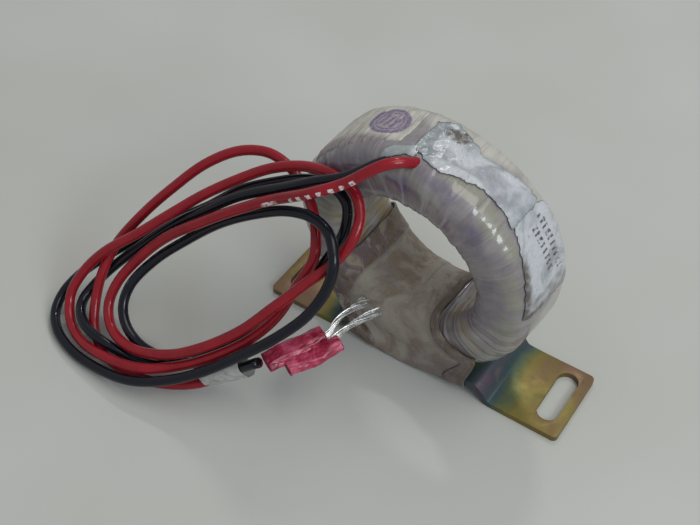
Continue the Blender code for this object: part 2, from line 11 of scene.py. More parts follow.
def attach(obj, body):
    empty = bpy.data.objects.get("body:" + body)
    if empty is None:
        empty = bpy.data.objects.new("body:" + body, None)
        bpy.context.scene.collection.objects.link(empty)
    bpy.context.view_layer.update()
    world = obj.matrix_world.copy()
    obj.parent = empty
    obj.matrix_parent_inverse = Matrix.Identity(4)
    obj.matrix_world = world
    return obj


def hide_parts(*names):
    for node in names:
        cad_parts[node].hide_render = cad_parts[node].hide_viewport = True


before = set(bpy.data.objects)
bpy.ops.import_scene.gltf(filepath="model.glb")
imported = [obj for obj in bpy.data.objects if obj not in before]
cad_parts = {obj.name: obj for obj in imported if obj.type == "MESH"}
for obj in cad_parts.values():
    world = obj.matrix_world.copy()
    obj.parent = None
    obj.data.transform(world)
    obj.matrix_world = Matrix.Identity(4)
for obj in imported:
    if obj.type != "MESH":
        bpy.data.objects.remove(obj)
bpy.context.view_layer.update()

MM = 0.001

# The ring, as in the CAD source: its centre, lean, turn and section, lengths in millimetres.
RING_CENTRE = Vector((-2.4, 0.0, 43.5))
RING_ROTATION = Euler((math.pi / 2 + math.radians(4.7), 0.0, math.radians(-4.25)))
RING_MATRIX = Matrix.Translation(RING_CENTRE * MM) @ RING_ROTATION.to_matrix().to_4x4()
OUTER, BORE, HALF_DEPTH, CORNER = 37.6, 20.7, 12.6, 6.2
FLAT = HALF_DEPTH - CORNER
CORNER_ARC = CORNER * math.pi / 2
FACE = OUTER - BORE - 2 * CORNER
HALF_GIRTH = 2 * FLAT + 2 * CORNER_ARC + FACE

# The strap bracket.
STRAP_THICKNESS = 2.0
STRAP_HALF_LENGTH = 49.04
STRAP_WIDTH = 26.0
STRAP_MIDDLE_Y = 3.0
SADDLE_RADIUS = 41.2
SADDLE_HALF_SPAN = math.radians(21.0)
CREST_X = 20.6
CREST_HEIGHT = 5.5
FOOT_START_X = 26.5
SLOT_CENTRE_X = 42.85
SLOT_WIDTH = 6.5
SLOT_LENGTH = 19.1
SLOT_MIDDLE_Y = 3.65
TAPE_CLEAR = 0.6

# The film and the tapes on it.
MM_PER_DEGREE = 0.656
FILM_COLUMNS, FILM_STATIONS = 110, 600
STUCK_TAPE_THICKNESS = 0.14
BINDING_WIDTH, BINDING_THICKNESS = 30.0, 0.5

# The leads' routes, exit first, in millimetres, as in the CAD source.
LEAD_DIAMETER = 3.0
RED_ROUTE = [
    (-2.1, -7.1, 77.9), (-2.8, -9.5, 78.4), (-4.1, -12.2, 79.8), (-6, -14.9, 80.9), (-8.6, -17.4, 80.6),
    (-12, -20, 78.2), (-16.5, -22.5, 74), (-24, -26.5, 69.5), (-37, -26.5, 59.5), (-47, -29, 52),
    (-57, -31.5, 43.5), (-67.5, -35, 34), (-75.5, -39.5, 23.5), (-79.3, -44.5, 16), (-79.3, -49, 11),
    (-75.5, -53.2, 8.6), (-69.5, -56, 8.4), (-62, -57, 9.8), (-51, -55.5, 14.5), (-41.5, -52, 21),
    (-32.5, -46.5, 29), (-26, -41.5, 37.5), (-19.5, -35.5, 46), (-14.5, -28.5, 52), (-12.5, -23.5, 58),
    (-14, -18.7, 62.2), (-18.5, -15.7, 65.4), (-26, -14.8, 66.2), (-35.5, -13.5, 62.7), (-44.5, -15.5, 58.5),
    (-52.5, -19, 53), (-61, -24.5, 46.5), (-69, -30.5, 39), (-77, -36, 31), (-86, -41.5, 22.5),
    (-91, -46, 15), (-92.6, -51, 8.5), (-89, -56, 4.2), (-82, -59.7, 3.4), (-71, -62, 6.1),
    (-58, -61, 9), (-48.5, -56, 11.5), (-39, -51.5, 18), (-31, -46, 25), (-26, -39.5, 32),
    (-23.5, -33.5, 40.5), (-21.5, -28.5, 48.5), (-24.3, -23.5, 53.2), (-28.2, -19.2, 54.5),
    (-32.5, -15.3, 54.4), (-37, -12, 54.7), (-43, -9.4, 55.6), (-50.5, -8.6, 56), (-58.5, -11, 54.2),
    (-66.5, -16, 49), (-74, -23, 40.5),
    (-80.5, -29.5, 31.5), (-85.3, -37, 22.3), (-85.6, -44, 15.6), (-84.3, -49.4, 9.2), (-81, -54.5, 4.2),
    (-74.5, -58.4, 2.2), (-65.5, -60.5, 2.1), (-55, -58.9, 2.4), (-45.5, -55.5, 4.8),
    (-40.5, -53.2, 7.6), (-36.3, -50, 10.8), (-32.4, -48, 14.2), (-26.7, -46.4, 19.2),
]
BLACK_ROUTE = [
    (-8.1, -6.8, 77.2), (-8.8, -8.9, 77.2), (-10.2, -11.8, 77.2), (-12.6, -14.8, 76.5), (-15.4, -17.3, 74.6),
    (-19.7, -19.4, 71.6), (-26.9, -21.8, 68), (-36.5, -22.5, 61.1), (-48.5, -24.5, 53), (-58.5, -27, 44),
    (-70, -30, 33), (-79.5, -35, 22), (-85.2, -40, 15), (-88.3, -44.8, 10.2), (-88.9, -49.8, 7.6),
    (-86.3, -54, 7), (-82, -56.8, 6.9), (-77, -57.8, 6.4), (-71.5, -57.8, 5.6), (-63, -56, 3.2),
    (-52.5, -52, 5), (-44.5, -46, 10.5), (-36, -40, 19.5), (-29, -34.5, 30), (-22.5, -29, 40),
    (-18.5, -25, 49),
    (-17.3, -20.5, 54.8), (-19.6, -16.2, 59.4), (-24, -15, 61.8), (-29, -14.8, 61.6), (-35, -14.2, 58.8),
    (-44, -15.5, 53.6), (-53, -18.5, 48), (-62, -22.5, 39.5), (-73, -26.5, 30.5), (-82, -31.5, 22),
    (-89.5, -38.5, 15.5),
    (-95, -44, 9.5), (-97.5, -49.5, 4.8), (-96, -55.2, 2.3), (-90.5, -60.2, 1.9), (-83, -63.2, 1.9),
    (-75.5, -64.5, 2.5), (-60.5, -64.5, 5.5), (-50, -61, 9), (-39.5, -56, 15.5), (-30, -50.5, 24),
    (-22, -45.5, 32), (-15.5, -39.5, 40.5), (-13, -34.8, 48), (-13.5, -31.3, 54.7), (-18, -27, 58.5),
    (-25, -24.5, 58.5), (-32.5, -24.5, 56.5), (-42.5, -25.5, 50.5), (-53.5, -27.5, 42),
    (-63.5, -31, 32), (-71, -36.5, 24), (-74.8, -43.5, 17.5), (-74.2, -48.3, 13), (-70.6, -51.6, 9.6),
    (-65, -53.2, 7.2), (-59, -53.5, 7.1), (-51.5, -52.7, 9), (-42, -51.5, 12), (-33, -50.5, 16),
    (-25.4, -48.9, 22.6),
]
RED_END_ROUTE = [
    (-13.6, -33.6, 24.0), (-12.4, -31.3, 24.6), (-11.2, -26, 25.2), (-9, -20, 25), (-7, -14.9, 24.4),
]
BLACK_END_ROUTE = [
    (-16.0, -33.8, 24.4), (-14.6, -31.4, 25), (-14.2, -26, 26.4), (-13, -20, 26.6), (-11.7, -14.9, 25.4),
]
STRAND_RADIUS = 0.25

# The print on a lead: a dash's pitch and its share of it, and the side of the lead that it is on.
PRINT_PITCH, PRINT_DASH = 3.1, 0.46
PRINT_SIDE, PRINT_HALF_HEIGHT = 3.4, 0.5

# The camera, in millimetres and degrees.
CAMERA_PLACE = Vector((95.7, -206.8, 279.0))
CAMERA_AZIMUTH = math.radians(30.74)
CAMERA_ELEVATION = math.radians(47.32)
CAMERA_ROLL = math.radians(3.36)
CAMERA_LENS = 61.43


# Geometry helpers --------------------------------------------------------------------------------


def ripple(x, y, z=0.0):
    """Smooth noise from -1 to 1."""
    return noise.noise(Vector((x, y, z)))


def smoothstep(low, high, value):
    share = min(1.0, max(0.0, (value - low) / (high - low)))
    return share * share * (3.0 - 2.0 * share)


def distances_along(points):
    """How far along a line each of its points is."""
    return np.append(0.0, np.cumsum(np.linalg.norm(np.diff(points, axis=0), axis=1)))


def angle_from(degrees, centre):
    """The turn from one angle to another, from -180 to 180 degrees."""
    return (degrees - centre + 180.0) % 360.0 - 180.0


def add_object(name, data):
    obj = bpy.data.objects.new(name, data)
    bpy.context.scene.collection.objects.link(obj)
    return obj


def mesh_from(name, bm):
    mesh = bpy.data.meshes.new(name)
    bm.to_mesh(mesh)
    bm.free()
    return mesh


def smooth_route(points, stations, closed=False):
    """A centripetal Catmull-Rom curve through the points, read at evenly spaced stations."""
    points = [np.array(point, float) for point in points]
    if closed:
        points = [points[-1]] + points + points[:2]
    else:
        points = [2 * points[0] - points[1]] + points + [2 * points[-1] - points[-2]]
    curve = []
    for a, b, c, d in zip(points, points[1:], points[2:], points[3:]):
        tb = np.linalg.norm(b - a) ** 0.5
        tc = tb + np.linalg.norm(c - b) ** 0.5
        td = tc + np.linalg.norm(d - c) ** 0.5
        for t in np.linspace(tb, tc, 12, endpoint=False):
            ab = a + (b - a) * t / tb
            bc = b + (c - b) * (t - tb) / (tc - tb)
            cd = c + (d - c) * (t - tc) / (td - tc)
            abc = ab + (bc - ab) * t / tc
            bcd = bc + (cd - bc) * (t - tb) / (td - tb)
            curve.append(abc + (bcd - abc) * (t - tb) / (tc - tb))
    curve.append(points[-2])
    curve = np.array(curve)
    travelled = distances_along(curve)
    wanted = np.linspace(0.0, travelled[-1], stations, endpoint=not closed)
    return np.stack([np.interp(wanted, travelled, curve[:, axis]) for axis in range(3)], axis=1)


def grid_piece(name, rows, material, wrap_rows=False, wrap_columns=False, caps=False, **values):
    """A smooth mesh from rows of points in metres, with a named value for each point."""
    bm = bmesh.new()
    verts = [[bm.verts.new(point) for point in row] for row in rows]
    row_pairs = list(zip(verts, verts[1:])) + ([(verts[-1], verts[0])] if wrap_rows else [])
    for low, high in row_pairs:
        columns = list(zip(low, low[1:], high[1:], high))
        if wrap_columns:
            columns.append((low[-1], low[0], high[0], high[-1]))
        for corners in columns:
            bm.faces.new(corners)
    if caps:
        bm.faces.new(verts[0][::-1])
        bm.faces.new(verts[-1])
    bmesh.ops.recalc_face_normals(bm, faces=bm.faces)
    mesh = mesh_from(name, bm)
    mesh.shade_smooth()
    for key, table in values.items():
        attribute = mesh.attributes.new(key, "FLOAT", "POINT")
        attribute.data.foreach_set("value", np.array(table, np.float32).ravel())
    mesh.materials.append(material)
    return add_object(name, mesh)


def thicken(obj, thickness):
    """Gives a sheet a thickness in millimetres, half on each side."""
    modifier = obj.modifiers.new("Thickness", "SOLIDIFY")
    modifier.thickness = thickness * MM
    modifier.offset = 0.0


def frames_along(points):
    """Two directions square to a line at each of its points, turned as little as possible."""
    tangents = np.gradient(points, axis=0)
    tangents /= np.linalg.norm(tangents, axis=1)[:, None]
    side = np.cross(tangents[0], (0.31, 0.17, 0.93))
    sides, ups = [], []
    for tangent in tangents:
        side = side - tangent * np.dot(side, tangent)
        side /= np.linalg.norm(side)
        sides.append(side)
        ups.append(np.cross(tangent, side))
    return np.array(sides), np.array(ups)


def tube_piece(name, points, radius, material, corners=16):
    """A round wire along points in millimetres, with how far along and around each point is."""
    sides, ups = frames_along(points)
    travelled = distances_along(points)
    angles = np.linspace(0.0, math.tau, corners, endpoint=False)
    rows = []
    for point, side, up in zip(points, sides, ups):
        rows.append([(point + radius * (side * math.cos(a) + up * math.sin(a))) * MM for a in angles])
    along = [[distance] * corners for distance in travelled]
    around = [list(angles)] * len(points)
    return grid_piece(name, rows, material, wrap_columns=True, caps=True, along=along, around=around)


# Material helpers --------------------------------------------------------------------------------


class Finish:
    """A material whose nodes are added one by one. A number or a socket can feed any input."""

    def __init__(self, name, **settings):
        self.material = bpy.data.materials.new(name)
        self.material.use_nodes = True
        self.tree = self.material.node_tree
        self.shader = self.tree.nodes["Principled BSDF"]
        for key, value in settings.items():
            self.shader.inputs[key.replace("_", " ")].default_value = value

    def feed(self, socket, value):
        if isinstance(value, bpy.types.NodeSocket):
            self.tree.links.new(value, socket)
        elif socket.type == "RGBA":
            socket.default_value = (*value, 1.0)
        else:
            socket.default_value = value

    def place(self):
        """Position in metres, the same as the model's own frame."""
        return self.tree.nodes.new("ShaderNodeTexCoord").outputs["Object"]

    def value(self, name):
        node = self.tree.nodes.new("ShaderNodeAttribute")
        node.attribute_name = name
        return node.outputs["Fac"]

    def axes(self, vector):
        node = self.tree.nodes.new("ShaderNodeSeparateXYZ")
        self.feed(node.inputs[0], vector)
        return node.outputs

    def vector(self, x, y, z=0.0):
        node = self.tree.nodes.new("ShaderNodeCombineXYZ")
        for socket, value in zip(node.inputs, (x, y, z)):
            self.feed(socket, value)
        return node.outputs[0]

    def math(self, operation, first, second=0.0):
        node = self.tree.nodes.new("ShaderNodeMath")
        node.operation = operation
        self.feed(node.inputs[0], first)
        self.feed(node.inputs[1], second)
        return node.outputs[0]

    def times(self, first, second):
        return self.math("MULTIPLY", first, second)

    def noise(self, vector, scale, detail=3.0, roughness=0.55, distortion=0.0):
        node = self.tree.nodes.new("ShaderNodeTexNoise")
        self.feed(node.inputs["Vector"], vector)
        self.feed(node.inputs["Scale"], scale)
        self.feed(node.inputs["Detail"], detail)
        self.feed(node.inputs["Roughness"], roughness)
        self.feed(node.inputs["Distortion"], distortion)
        return node.outputs[0]

    def cells(self, vector, scale):
        node = self.tree.nodes.new("ShaderNodeTexVoronoi")
        self.feed(node.inputs["Vector"], vector)
        self.feed(node.inputs["Scale"], scale)
        return node.outputs["Distance"]

    def between(self, value, low, high, start=0.0, end=1.0):
        """Maps low to high onto start to end, held at both ends."""
        node = self.tree.nodes.new("ShaderNodeMapRange")
        for socket, number in zip(node.inputs, (value, low, high, start, end)):
            self.feed(socket, number)
        return node.outputs[0]

    def ramp(self, value, *stops):
        node = self.tree.nodes.new("ShaderNodeValToRGB")
        self.feed(node.inputs[0], value)
        elements = node.color_ramp.elements
        while len(elements) < len(stops):
            elements.new(1.0)
        for element, (position, colour) in zip(elements, stops):
            element.position = position
            element.color = (*colour, 1.0)
        return node.outputs[0]

    def mix(self, share, first, second):
        node = self.tree.nodes.new("ShaderNodeMix")
        node.data_type = "RGBA"
        self.feed(node.inputs[0], share)
        self.feed(node.inputs[6], first)
        self.feed(node.inputs[7], second)
        return node.outputs[2]

    def paint(self, colour, name, strength, over):
        """Lays a colour over another where a painted value says so."""
        return self.mix(self.times(self.value(name), strength), colour, over)

    def uneven_roughness(self, vector, scale, detail, low, high):
        self.set("Roughness", self.between(self.noise(vector, scale, detail), 0.3, 0.7, low, high))

    def bump(self, height, distance, strength=1.0):
        """Adds a bump. The height is read as a share of the distance, in millimetres."""
        node = self.tree.nodes.new("ShaderNodeBump")
        node.inputs["Strength"].default_value = strength
        node.inputs["Distance"].default_value = distance * MM
        self.feed(node.inputs["Height"], height)
        earlier = self.shader.inputs["Normal"].links
        if earlier:
            self.feed(node.inputs["Normal"], earlier[0].from_socket)
        self.feed(self.shader.inputs["Normal"], node.outputs[0])

    def set(self, name, value):
        self.feed(self.shader.inputs[name], value)

    def done(self):
        return self.material


def ring_place(finish):
    """The ring's own coordinates, with Z along its axis."""
    node = finish.tree.nodes.new("ShaderNodeMapping")
    node.vector_type = "TEXTURE"
    node.inputs["Location"].default_value = RING_CENTRE * MM
    node.inputs["Rotation"].default_value = RING_ROTATION
    finish.feed(node.inputs["Vector"], finish.place())
    return node.outputs[0]


# Camera, light and floor -------------------------------------------------------------------------


def build_camera():
    data = bpy.data.cameras.new("Camera")
    data.sensor_width = 36.0
    data.lens = CAMERA_LENS
    data.clip_start = 0.01
    data.clip_end = 10.0
    camera = add_object("Camera", data)
    back = Vector(
        (
            math.sin(CAMERA_AZIMUTH) * math.cos(CAMERA_ELEVATION),
            -math.cos(CAMERA_AZIMUTH) * math.cos(CAMERA_ELEVATION),
            math.sin(CAMERA_ELEVATION),
        )
    )
    level = Vector((0.0, 0.0, 1.0)).cross(back).normalized()
    upright = back.cross(level)
    right = math.cos(CAMERA_ROLL) * level + math.sin(CAMERA_ROLL) * upright
    up = back.cross(right)
    rotation = Matrix((right, up, back)).transposed().to_4x4()
    camera.matrix_world = Matrix.Translation(CAMERA_PLACE * MM) @ rotation
    bpy.context.scene.camera = camera


def area_light(name, place, target, size, power, colour=(1.0, 1.0, 1.0)):
    data = bpy.data.lights.new(name, "AREA")
    data.shape = "RECTANGLE"
    data.size, data.size_y = size
    data.energy = power
    data.color = colour
    light = add_object(name, data)
    light.location = place
    light.rotation_euler = (Vector(target) - Vector(place)).to_track_quat("-Z", "Y").to_euler()


def build_lights():
    world = bpy.data.worlds.new("Studio")
    bpy.context.scene.world = world
    world.use_nodes = True
    background = world.node_tree.nodes["Background"]
    background.inputs["Color"].default_value = (0.93, 0.96, 1.0, 1.0)
    background.inputs["Strength"].default_value = 0.455
    area_light("Ceiling", (0.55, 0.10, 1.4), (0, 0, 0.03), (1.1, 0.8), 6.8, (1.0, 0.98, 0.94))
    area_light("Window", (0.75, -0.30, 0.60), (0, 0, 0.03), (0.4, 0.3), 3.5, (0.84, 0.92, 1.0))
    area_light("Lamp", (-0.22, 0.50, 0.75), (0, 0, 0.05), (0.10, 0.05), 1.0)
    bpy.context.scene.view_settings.view_transform = "Standard"


def build_floor():
    finish = Finish("floor_paper", Roughness=0.75)
    place = finish.place()
    mottle = finish.noise(place, 9.0, 2.0)
    dark, pale = (0.425, 0.425, 0.385), (0.475, 0.48, 0.455)
    finish.set("Base Color", finish.ramp(mottle, (0.3, dark), (0.7, pale)))
    finish.bump(finish.noise(place, 900.0, 2.0), 0.05, 0.4)
    size = 3.0
    rows = [[(-size, -size, 0.0), (size, -size, 0.0)], [(-size, size, 0.0), (size, size, 0.0)]]
    floor = grid_piece("floor", rows, finish.done())


# Leads -------------------------------------------------------------------------------------------


def lead_material(name, deep, bright, print_colour, print_start, print_end):
    """Glossy PVC. Short worn dashes stand for its print, between two distances along, then a scrape."""
    finish = Finish(name, Specular_IOR_Level=0.32)
    along, around = finish.value("along"), finish.value("around")
    place = finish.place()
    colour = finish.mix(finish.noise(place, 160.0, 3.0), deep, bright)
    step = finish.math("FRACT", finish.math("DIVIDE", along, PRINT_PITCH))
    dash = finish.math("LESS_THAN", step, PRINT_DASH)
    from_side = finish.math("ABSOLUTE", finish.math("SUBTRACT", around, PRINT_SIDE))
    band = finish.math("LESS_THAN", from_side, PRINT_HALF_HEIGHT)
    started = finish.math("GREATER_THAN", along, print_start)
    stopped = finish.math("LESS_THAN", along, print_end)
    worn = finish.between(finish.noise(place, 900.0, 2.0), 0.38, 0.50)
    mark = worn
    for part in (dash, band, started, stopped):
        mark = finish.times(mark, part)
    from_scrape = finish.math("ABSOLUTE", finish.math("SUBTRACT", along, print_end + 7.0))
    scrape = finish.times(finish.between(from_scrape, 3.5, 1.5), worn)
    mark = finish.math("MAXIMUM", mark, finish.times(scrape, band))
    colour = finish.mix(mark, colour, print_colour)
    scuff = finish.between(finish.noise(place, 420.0, 4.0, 0.7), 0.56, 0.74, 0.0, 0.5)
    finish.set("Base Color", finish.mix(scuff, colour, bright))
    finish.uneven_roughness(place, 240.0, 3.0, 0.12, 0.26)
    finish.bump(finish.noise(place, 350.0, 2.0), 0.16, 0.4)
    return finish.done()


def build_lead(name, node, route, material):
    points = smooth_route(route, 520)
    lead = tube_piece(name, points, LEAD_DIAMETER / 2, material, corners=20)
    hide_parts(node)
    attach(lead, "root")


def build_strands(name, node, route, strand_count, seed, material):
    """The lead's own tinned strands, twisted at the tape and fraying towards their ends."""
    middle = smooth_route(route, 40)
    sides, ups = frames_along(middle)
    generator = np.random.default_rng(seed)
    strands = []
    for strand in range(strand_count):
        phase = math.tau * strand / strand_count
        ring = 0.25 + 0.55 * (strand % 3) / 2
        fray = generator.uniform(0.1, 0.8)
        twist = generator.uniform(0.5, 0.8)
        reach = generator.uniform(0.80, 1.0)
        points = []
        for index in range(int(len(middle) * reach)):
            share = index / (len(middle) - 1)
            spread = ring + fray * smoothstep(0.45, 1.0, share)
            angle = phase + twist * math.tau * share
            offset = spread * (sides[index] * math.cos(angle) + ups[index] * math.sin(angle) * 0.75)
            points.append(middle[index] + offset)
        wire = tube_piece(f"{name}_{strand}", np.array(points), STRAND_RADIUS, material, corners=6)
        strands.append(wire)
    piece = join(strands, name)
    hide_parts(node)
    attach(piece, "root")
    return piece


def join(objects, name):
    """One object from several, with the first one's material."""
    bm = bmesh.new()
    for obj in objects:
        bm.from_mesh(obj.data)
    mesh = mesh_from(name, bm)
    mesh.materials.append(objects[0].data.materials[0])
    for obj in objects:
        bpy.data.objects.remove(obj)
    return add_object(name, mesh)


def tinned_material():
    finish = Finish("tinned_strands", Metallic=0.9, Roughness=0.25)
    place = finish.place()
    finish.set("Base Color", finish.ramp(
        finish.noise(place, 380.0, 3.0), (0.35, (0.50, 0.49, 0.47)), (0.6, (0.86, 0.87, 0.86))
    ))
    finish.uneven_roughness(place, 900.0, 2.0, 0.12, 0.4)
    finish.bump(finish.noise(place, 1500.0, 2.0), 0.05, 0.5)
    return finish.done()


# Taped ends --------------------------------------------------------------------------------------


def pink_tape_material():
    finish = Finish("pink_vinyl_tape", Roughness=0.33, Coat_Weight=0.25, Coat_Roughness=0.2)
    place = finish.place()
    blotch = finish.noise(place, 210.0, 4.0, 0.6, 0.4)
    finish.set("Base Color", finish.ramp(
        blotch, (0.32, (0.15, 0.006, 0.020)), (0.50, (0.34, 0.018, 0.055)), (0.66, (0.52, 0.08, 0.155))
    ))
    finish.set("Roughness", finish.between(finish.noise(place, 300.0, 2.0), 0.35, 0.65, 0.22, 0.48))
    finish.bump(finish.noise(place, 230.0, 4.0, 0.6, 0.8), 0.9, 0.7)
    return finish.done()


def build_lobe(name, start, end, half_wide, half_high, seed, material):
    """A flattened tube of tape round a splice, open and dished at both ends."""
    start, end = Vector(start), Vector(end)
    along = (end - start).normalized()
    across = along.cross(Vector((0.0, 0.0, 1.0))).normalized()
    upright = across.cross(along)
    columns, steps = 56, 46
    dished_end = [(0.05, 0.10), (0.05, 0.60), (0.03, 0.85)]
    stations = list(dished_end)
    stations += [(share, 1.0) for share in np.linspace(0.0, 1.0, steps)]
    stations += [(1.0 - share, scale) for share, scale in reversed(dished_end)]
    rows = []
    for share, scale in stations:
        centre = start + (end - start) * share
        row = []
        for angle in np.linspace(0.0, math.tau, columns, endpoint=False):
            c, s = math.cos(angle), math.sin(angle)
            fold = 1.0 + 0.20 * ripple(2.2 * c + seed, 2.2 * s, 4.0 * share)
            crease = 0.14 * ripple(5.0 * c + seed, 5.0 * s, 7.0 * share)
            swell = half_wide[0] + (half_wide[1] - half_wide[0]) * share
            swell += half_wide[2] * math.sin(math.pi * share) ** 2
            x = swell * math.copysign(abs(c) ** 0.75, c) * (fold + crease) * scale
            z = half_high * math.copysign(abs(s) ** 0.8, s) * (fold - crease) * scale
            row.append((centre + across * x + upright * z) * MM)
        rows.append(row)
    return grid_piece(name, rows, material, wrap_columns=True, caps=True)


def build_flag(material):
    upper = build_lobe(
        "tape_flag_upper", (-23.6, -47.4, 22.4), (-15.4, -32.0, 25.0), (3.0, 2.5, 0.3), 1.9, 3.0, material
    )
    lower = build_lobe(
        "tape_flag_lower", (-17.8, -45.6, 22.0), (-10.2, -31.4, 24.4), (2.1, 2.2, 0.8), 1.7, 8.0, material
    )
    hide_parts("tape_flag")
    for lobe in (upper, lower):
        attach(lobe, "root")
    return [upper, lower]


def clear_tape_material():
    finish = Finish("clear_tape", Roughness=0.22, Alpha=0.55, Coat_Weight=0.6, Coat_Roughness=0.1)
    place = finish.place()
    cloudy = finish.noise(place, 420.0, 4.0, 0.65, 0.6)
    finish.set("Base Color", finish.ramp(cloudy, (0.3, (0.40, 0.40, 0.38)), (0.65, (0.68, 0.69, 0.66))))
    finish.bump(finish.noise(place, 620.0, 3.0, 0.6, 1.0), 0.5, 0.8)
    return finish.done()


def build_clear_tape(material):
    """A loose crumpled wrap of clear tape, a little over one turn, with its end sticking out."""
    start, end = Vector((-40.5, -52.6, 9.4)), Vector((-29.6, -48.4, 17.2))
    along = (end - start).normalized()
    across = Vector((0.0, 0.45, -0.9))
    across = (across - along * across.dot(along)).normalized()
    third = along.cross(across)
    rows = []
    for share in np.linspace(0.0, 1.0, 40):
        centre = start + (end - start) * share
        row = []
        for turn in np.linspace(0.0, 1.0, 70):
            angle = math.tau * turn * 1.12 + 0.6
            crumple = 0.30 * ripple(2.0 * math.cos(angle), 2.0 * math.sin(angle), 7.0 * share)
            wide = 3.8 + crumple + 0.35 * turn
            high = 2.5 + crumple + 0.35 * turn
            tab = 2.4 * smoothstep(0.90, 1.0, turn)
            offset = across * (wide * math.cos(angle) + tab) + third * high * math.sin(angle)
            row.append((centre + offset) * MM)
        rows.append(row)
    piece = grid_piece("clear_tape_wrap_film", rows, material)
    thicken(piece, 0.12)
    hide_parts("clear_tape_wrap")
    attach(piece, "root")
    return piece


# Film round the ring -----------------------------------------------------------------------------


def on_section(around):
    """Radius, depth and outward direction on the ring's section, from the distance around it in mm.

    The distance is 0 at the middle of the rim and grows towards the front.
    """
    side = math.copysign(1.0, around)
    left = abs(around)
    if left < FLAT:
        return OUTER, around, 1.0, 0.0
    left -= FLAT
    if left < CORNER_ARC:
        angle = left / CORNER
        radius = OUTER - CORNER + CORNER * math.cos(angle)
        return radius, side * (FLAT + CORNER * math.sin(angle)), math.cos(angle), side * math.sin(angle)
    left -= CORNER_ARC
    if left < FACE:
        return OUTER - CORNER - left, side * HALF_DEPTH, 0.0, side
    left -= FACE
    if left < CORNER_ARC:
        angle = left / CORNER
        radius = BORE + CORNER - CORNER * math.sin(angle)
        return radius, side * (FLAT + CORNER * math.cos(angle)), -math.sin(angle), side * math.cos(angle)
    left -= CORNER_ARC
    return BORE, side * (FLAT - left), -1.0, 0.0


def on_wrap(degrees, around, height):
    """A point in metres above the wrap's nominal surface, all lengths given in millimetres."""
    radius, depth, out_radius, out_depth = on_section(around)
    radius += out_radius * height
    depth += out_depth * height
    angle = math.radians(degrees)
    return RING_MATRIX @ (Vector((radius * math.cos(angle), radius * math.sin(angle), depth)) * MM)


def streak(degrees, around, fine, coarse, offset):
    """Noise drawn out along the section, so that it runs across the ring like a fold of film."""
    angle = math.radians(degrees)
    return ripple(fine * math.cos(angle) + offset, fine * math.sin(angle), coarse * around)


def bunched(degrees, around):
    """Where the film is gathered into deep folds: low on the front, beside the binding."""
    total = 0.0
    for centre, place, half_angle, half_width in ((-27.0, 17.0, 17.0, 9.0), (150.0, 14.0, 24.0, 7.0)):
        turn = angle_from(degrees, centre) / half_angle
        total += math.exp(-(turn**2)) * math.exp(-(((around - place) / half_width) ** 2))
    return total


def fold_line(degrees, around):
    """Zero at the bottom of a sharp fold and up to one between folds."""
    return min(1.0, 2.6 * abs(streak(degrees + 0.3 * around, around, 13.0, 0.035, 4.2)))


def film_height(degrees, around):
    """How far the film stands off its nominal surface: lapped turns, folds and slack lumps."""
    bore = smoothstep(17.0, 30.0, abs(around))
    wander = 6.0 * streak(degrees, around, 2.0, 0.06, 1.7)
    lap = ((degrees + wander + 0.25 * around) / 12.0) % 1.0
    lapped = 0.20 * (1.0 - smoothstep(0.0, 0.9, lap)) * smoothstep(0.0, 0.06, lap)
    folds = (0.06 + 0.14 * bore + 0.30 * bunched(degrees, around)) * (fold_line(degrees, around) - 0.5)
    fine = (0.04 + 0.05 * bore) * streak(degrees, around, 38.0, 0.09, 8.1)
    lumps = 0.34 * streak(degrees, around, 2.6, 0.09, 11.0)
    return min(0.25, lapped + folds + fine + lumps - 0.15)


# Patches of tint on the film: angle, distance around, reach in degrees and in mm, and strength.
PURPLE_PATCHES = [
    (52, 15, 18, 3.5, 0.6), (36, 13, 12, 3, 0.45), (18, 19, 18, 4, 0.5), (78, 11, 12, 2.5, 1.0),
    (68, 20, 10, 3, 0.7), (92, 16, 10, 3.5, 0.9), (104, 21, 9, 5, 0.6), (0, 24, 16, 5, 0.6),
    (128, 14, 22, 4, 1.0), (-156, 24, 10, 4, 1.0), (-142, 31, 14, 4, 1.0), (62, 28, 16, 4, 0.7),
    (-20, 28, 14, 4, 0.6), (120, 24, 14, 5, 0.7),
    (-140, -34, 18, 6, 0.6), (40, -22, 20, 6, 0.7), (110, -24, 22, 6, 0.7), (-30, -20, 20, 7, 0.6),
    (0, -20, 14, 6, 0.6), (80, -18, 12, 6, 0.7), (160, -20, 20, 6, 0.6), (-150, -18, 18, 6, 0.7),
]
OLIVE_PATCHES = [
    (66, 6.5, 18, 3.0, 1.0), (44, 8.5, 16, 3.0, 1.0), (22, 12, 16, 3.2, 0.9), (88, 12, 8, 2.5, 0.7),
    (-8, 14, 16, 4, 0.8), (-35, 14, 14, 5, 0.7), (165, 22, 14, 6, 0.9), (-172, 30, 14, 6, 1.0),
    (-172, -30, 14, 6, 0.9), (150, 33, 16, 6, 0.8), (-35, -8, 16, 8, 0.7), (20, -30, 18, 6, 0.6),
]
CREAM_PATCHES = [
    (90, -7, 16, 7, 1.0), (70, -9, 18, 6, 1.0), (50, -10, 18, 6, 0.9), (30, -12, 18, 5, 0.8),
    (10, -6, 18, 8, 0.7), (-10, -2, 16, 8, 0.6), (120, -14, 26, 6, 0.9), (160, -4, 16, 9, 0.7),
]
AMBER_PATCHES = [
    (-170, -32, 16, 9, 1.0), (-148, -31, 12, 9, 1.0), (-165, 31, 14, 7, 1.0), (172, 29, 12, 6, 1.0),
    (150, 28, 10, 4, 0.8), (-40, 34, 10, 6, 0.7), (-40, -34, 10, 6, 0.6), (-32, 22, 8, 6, 0.7),
]


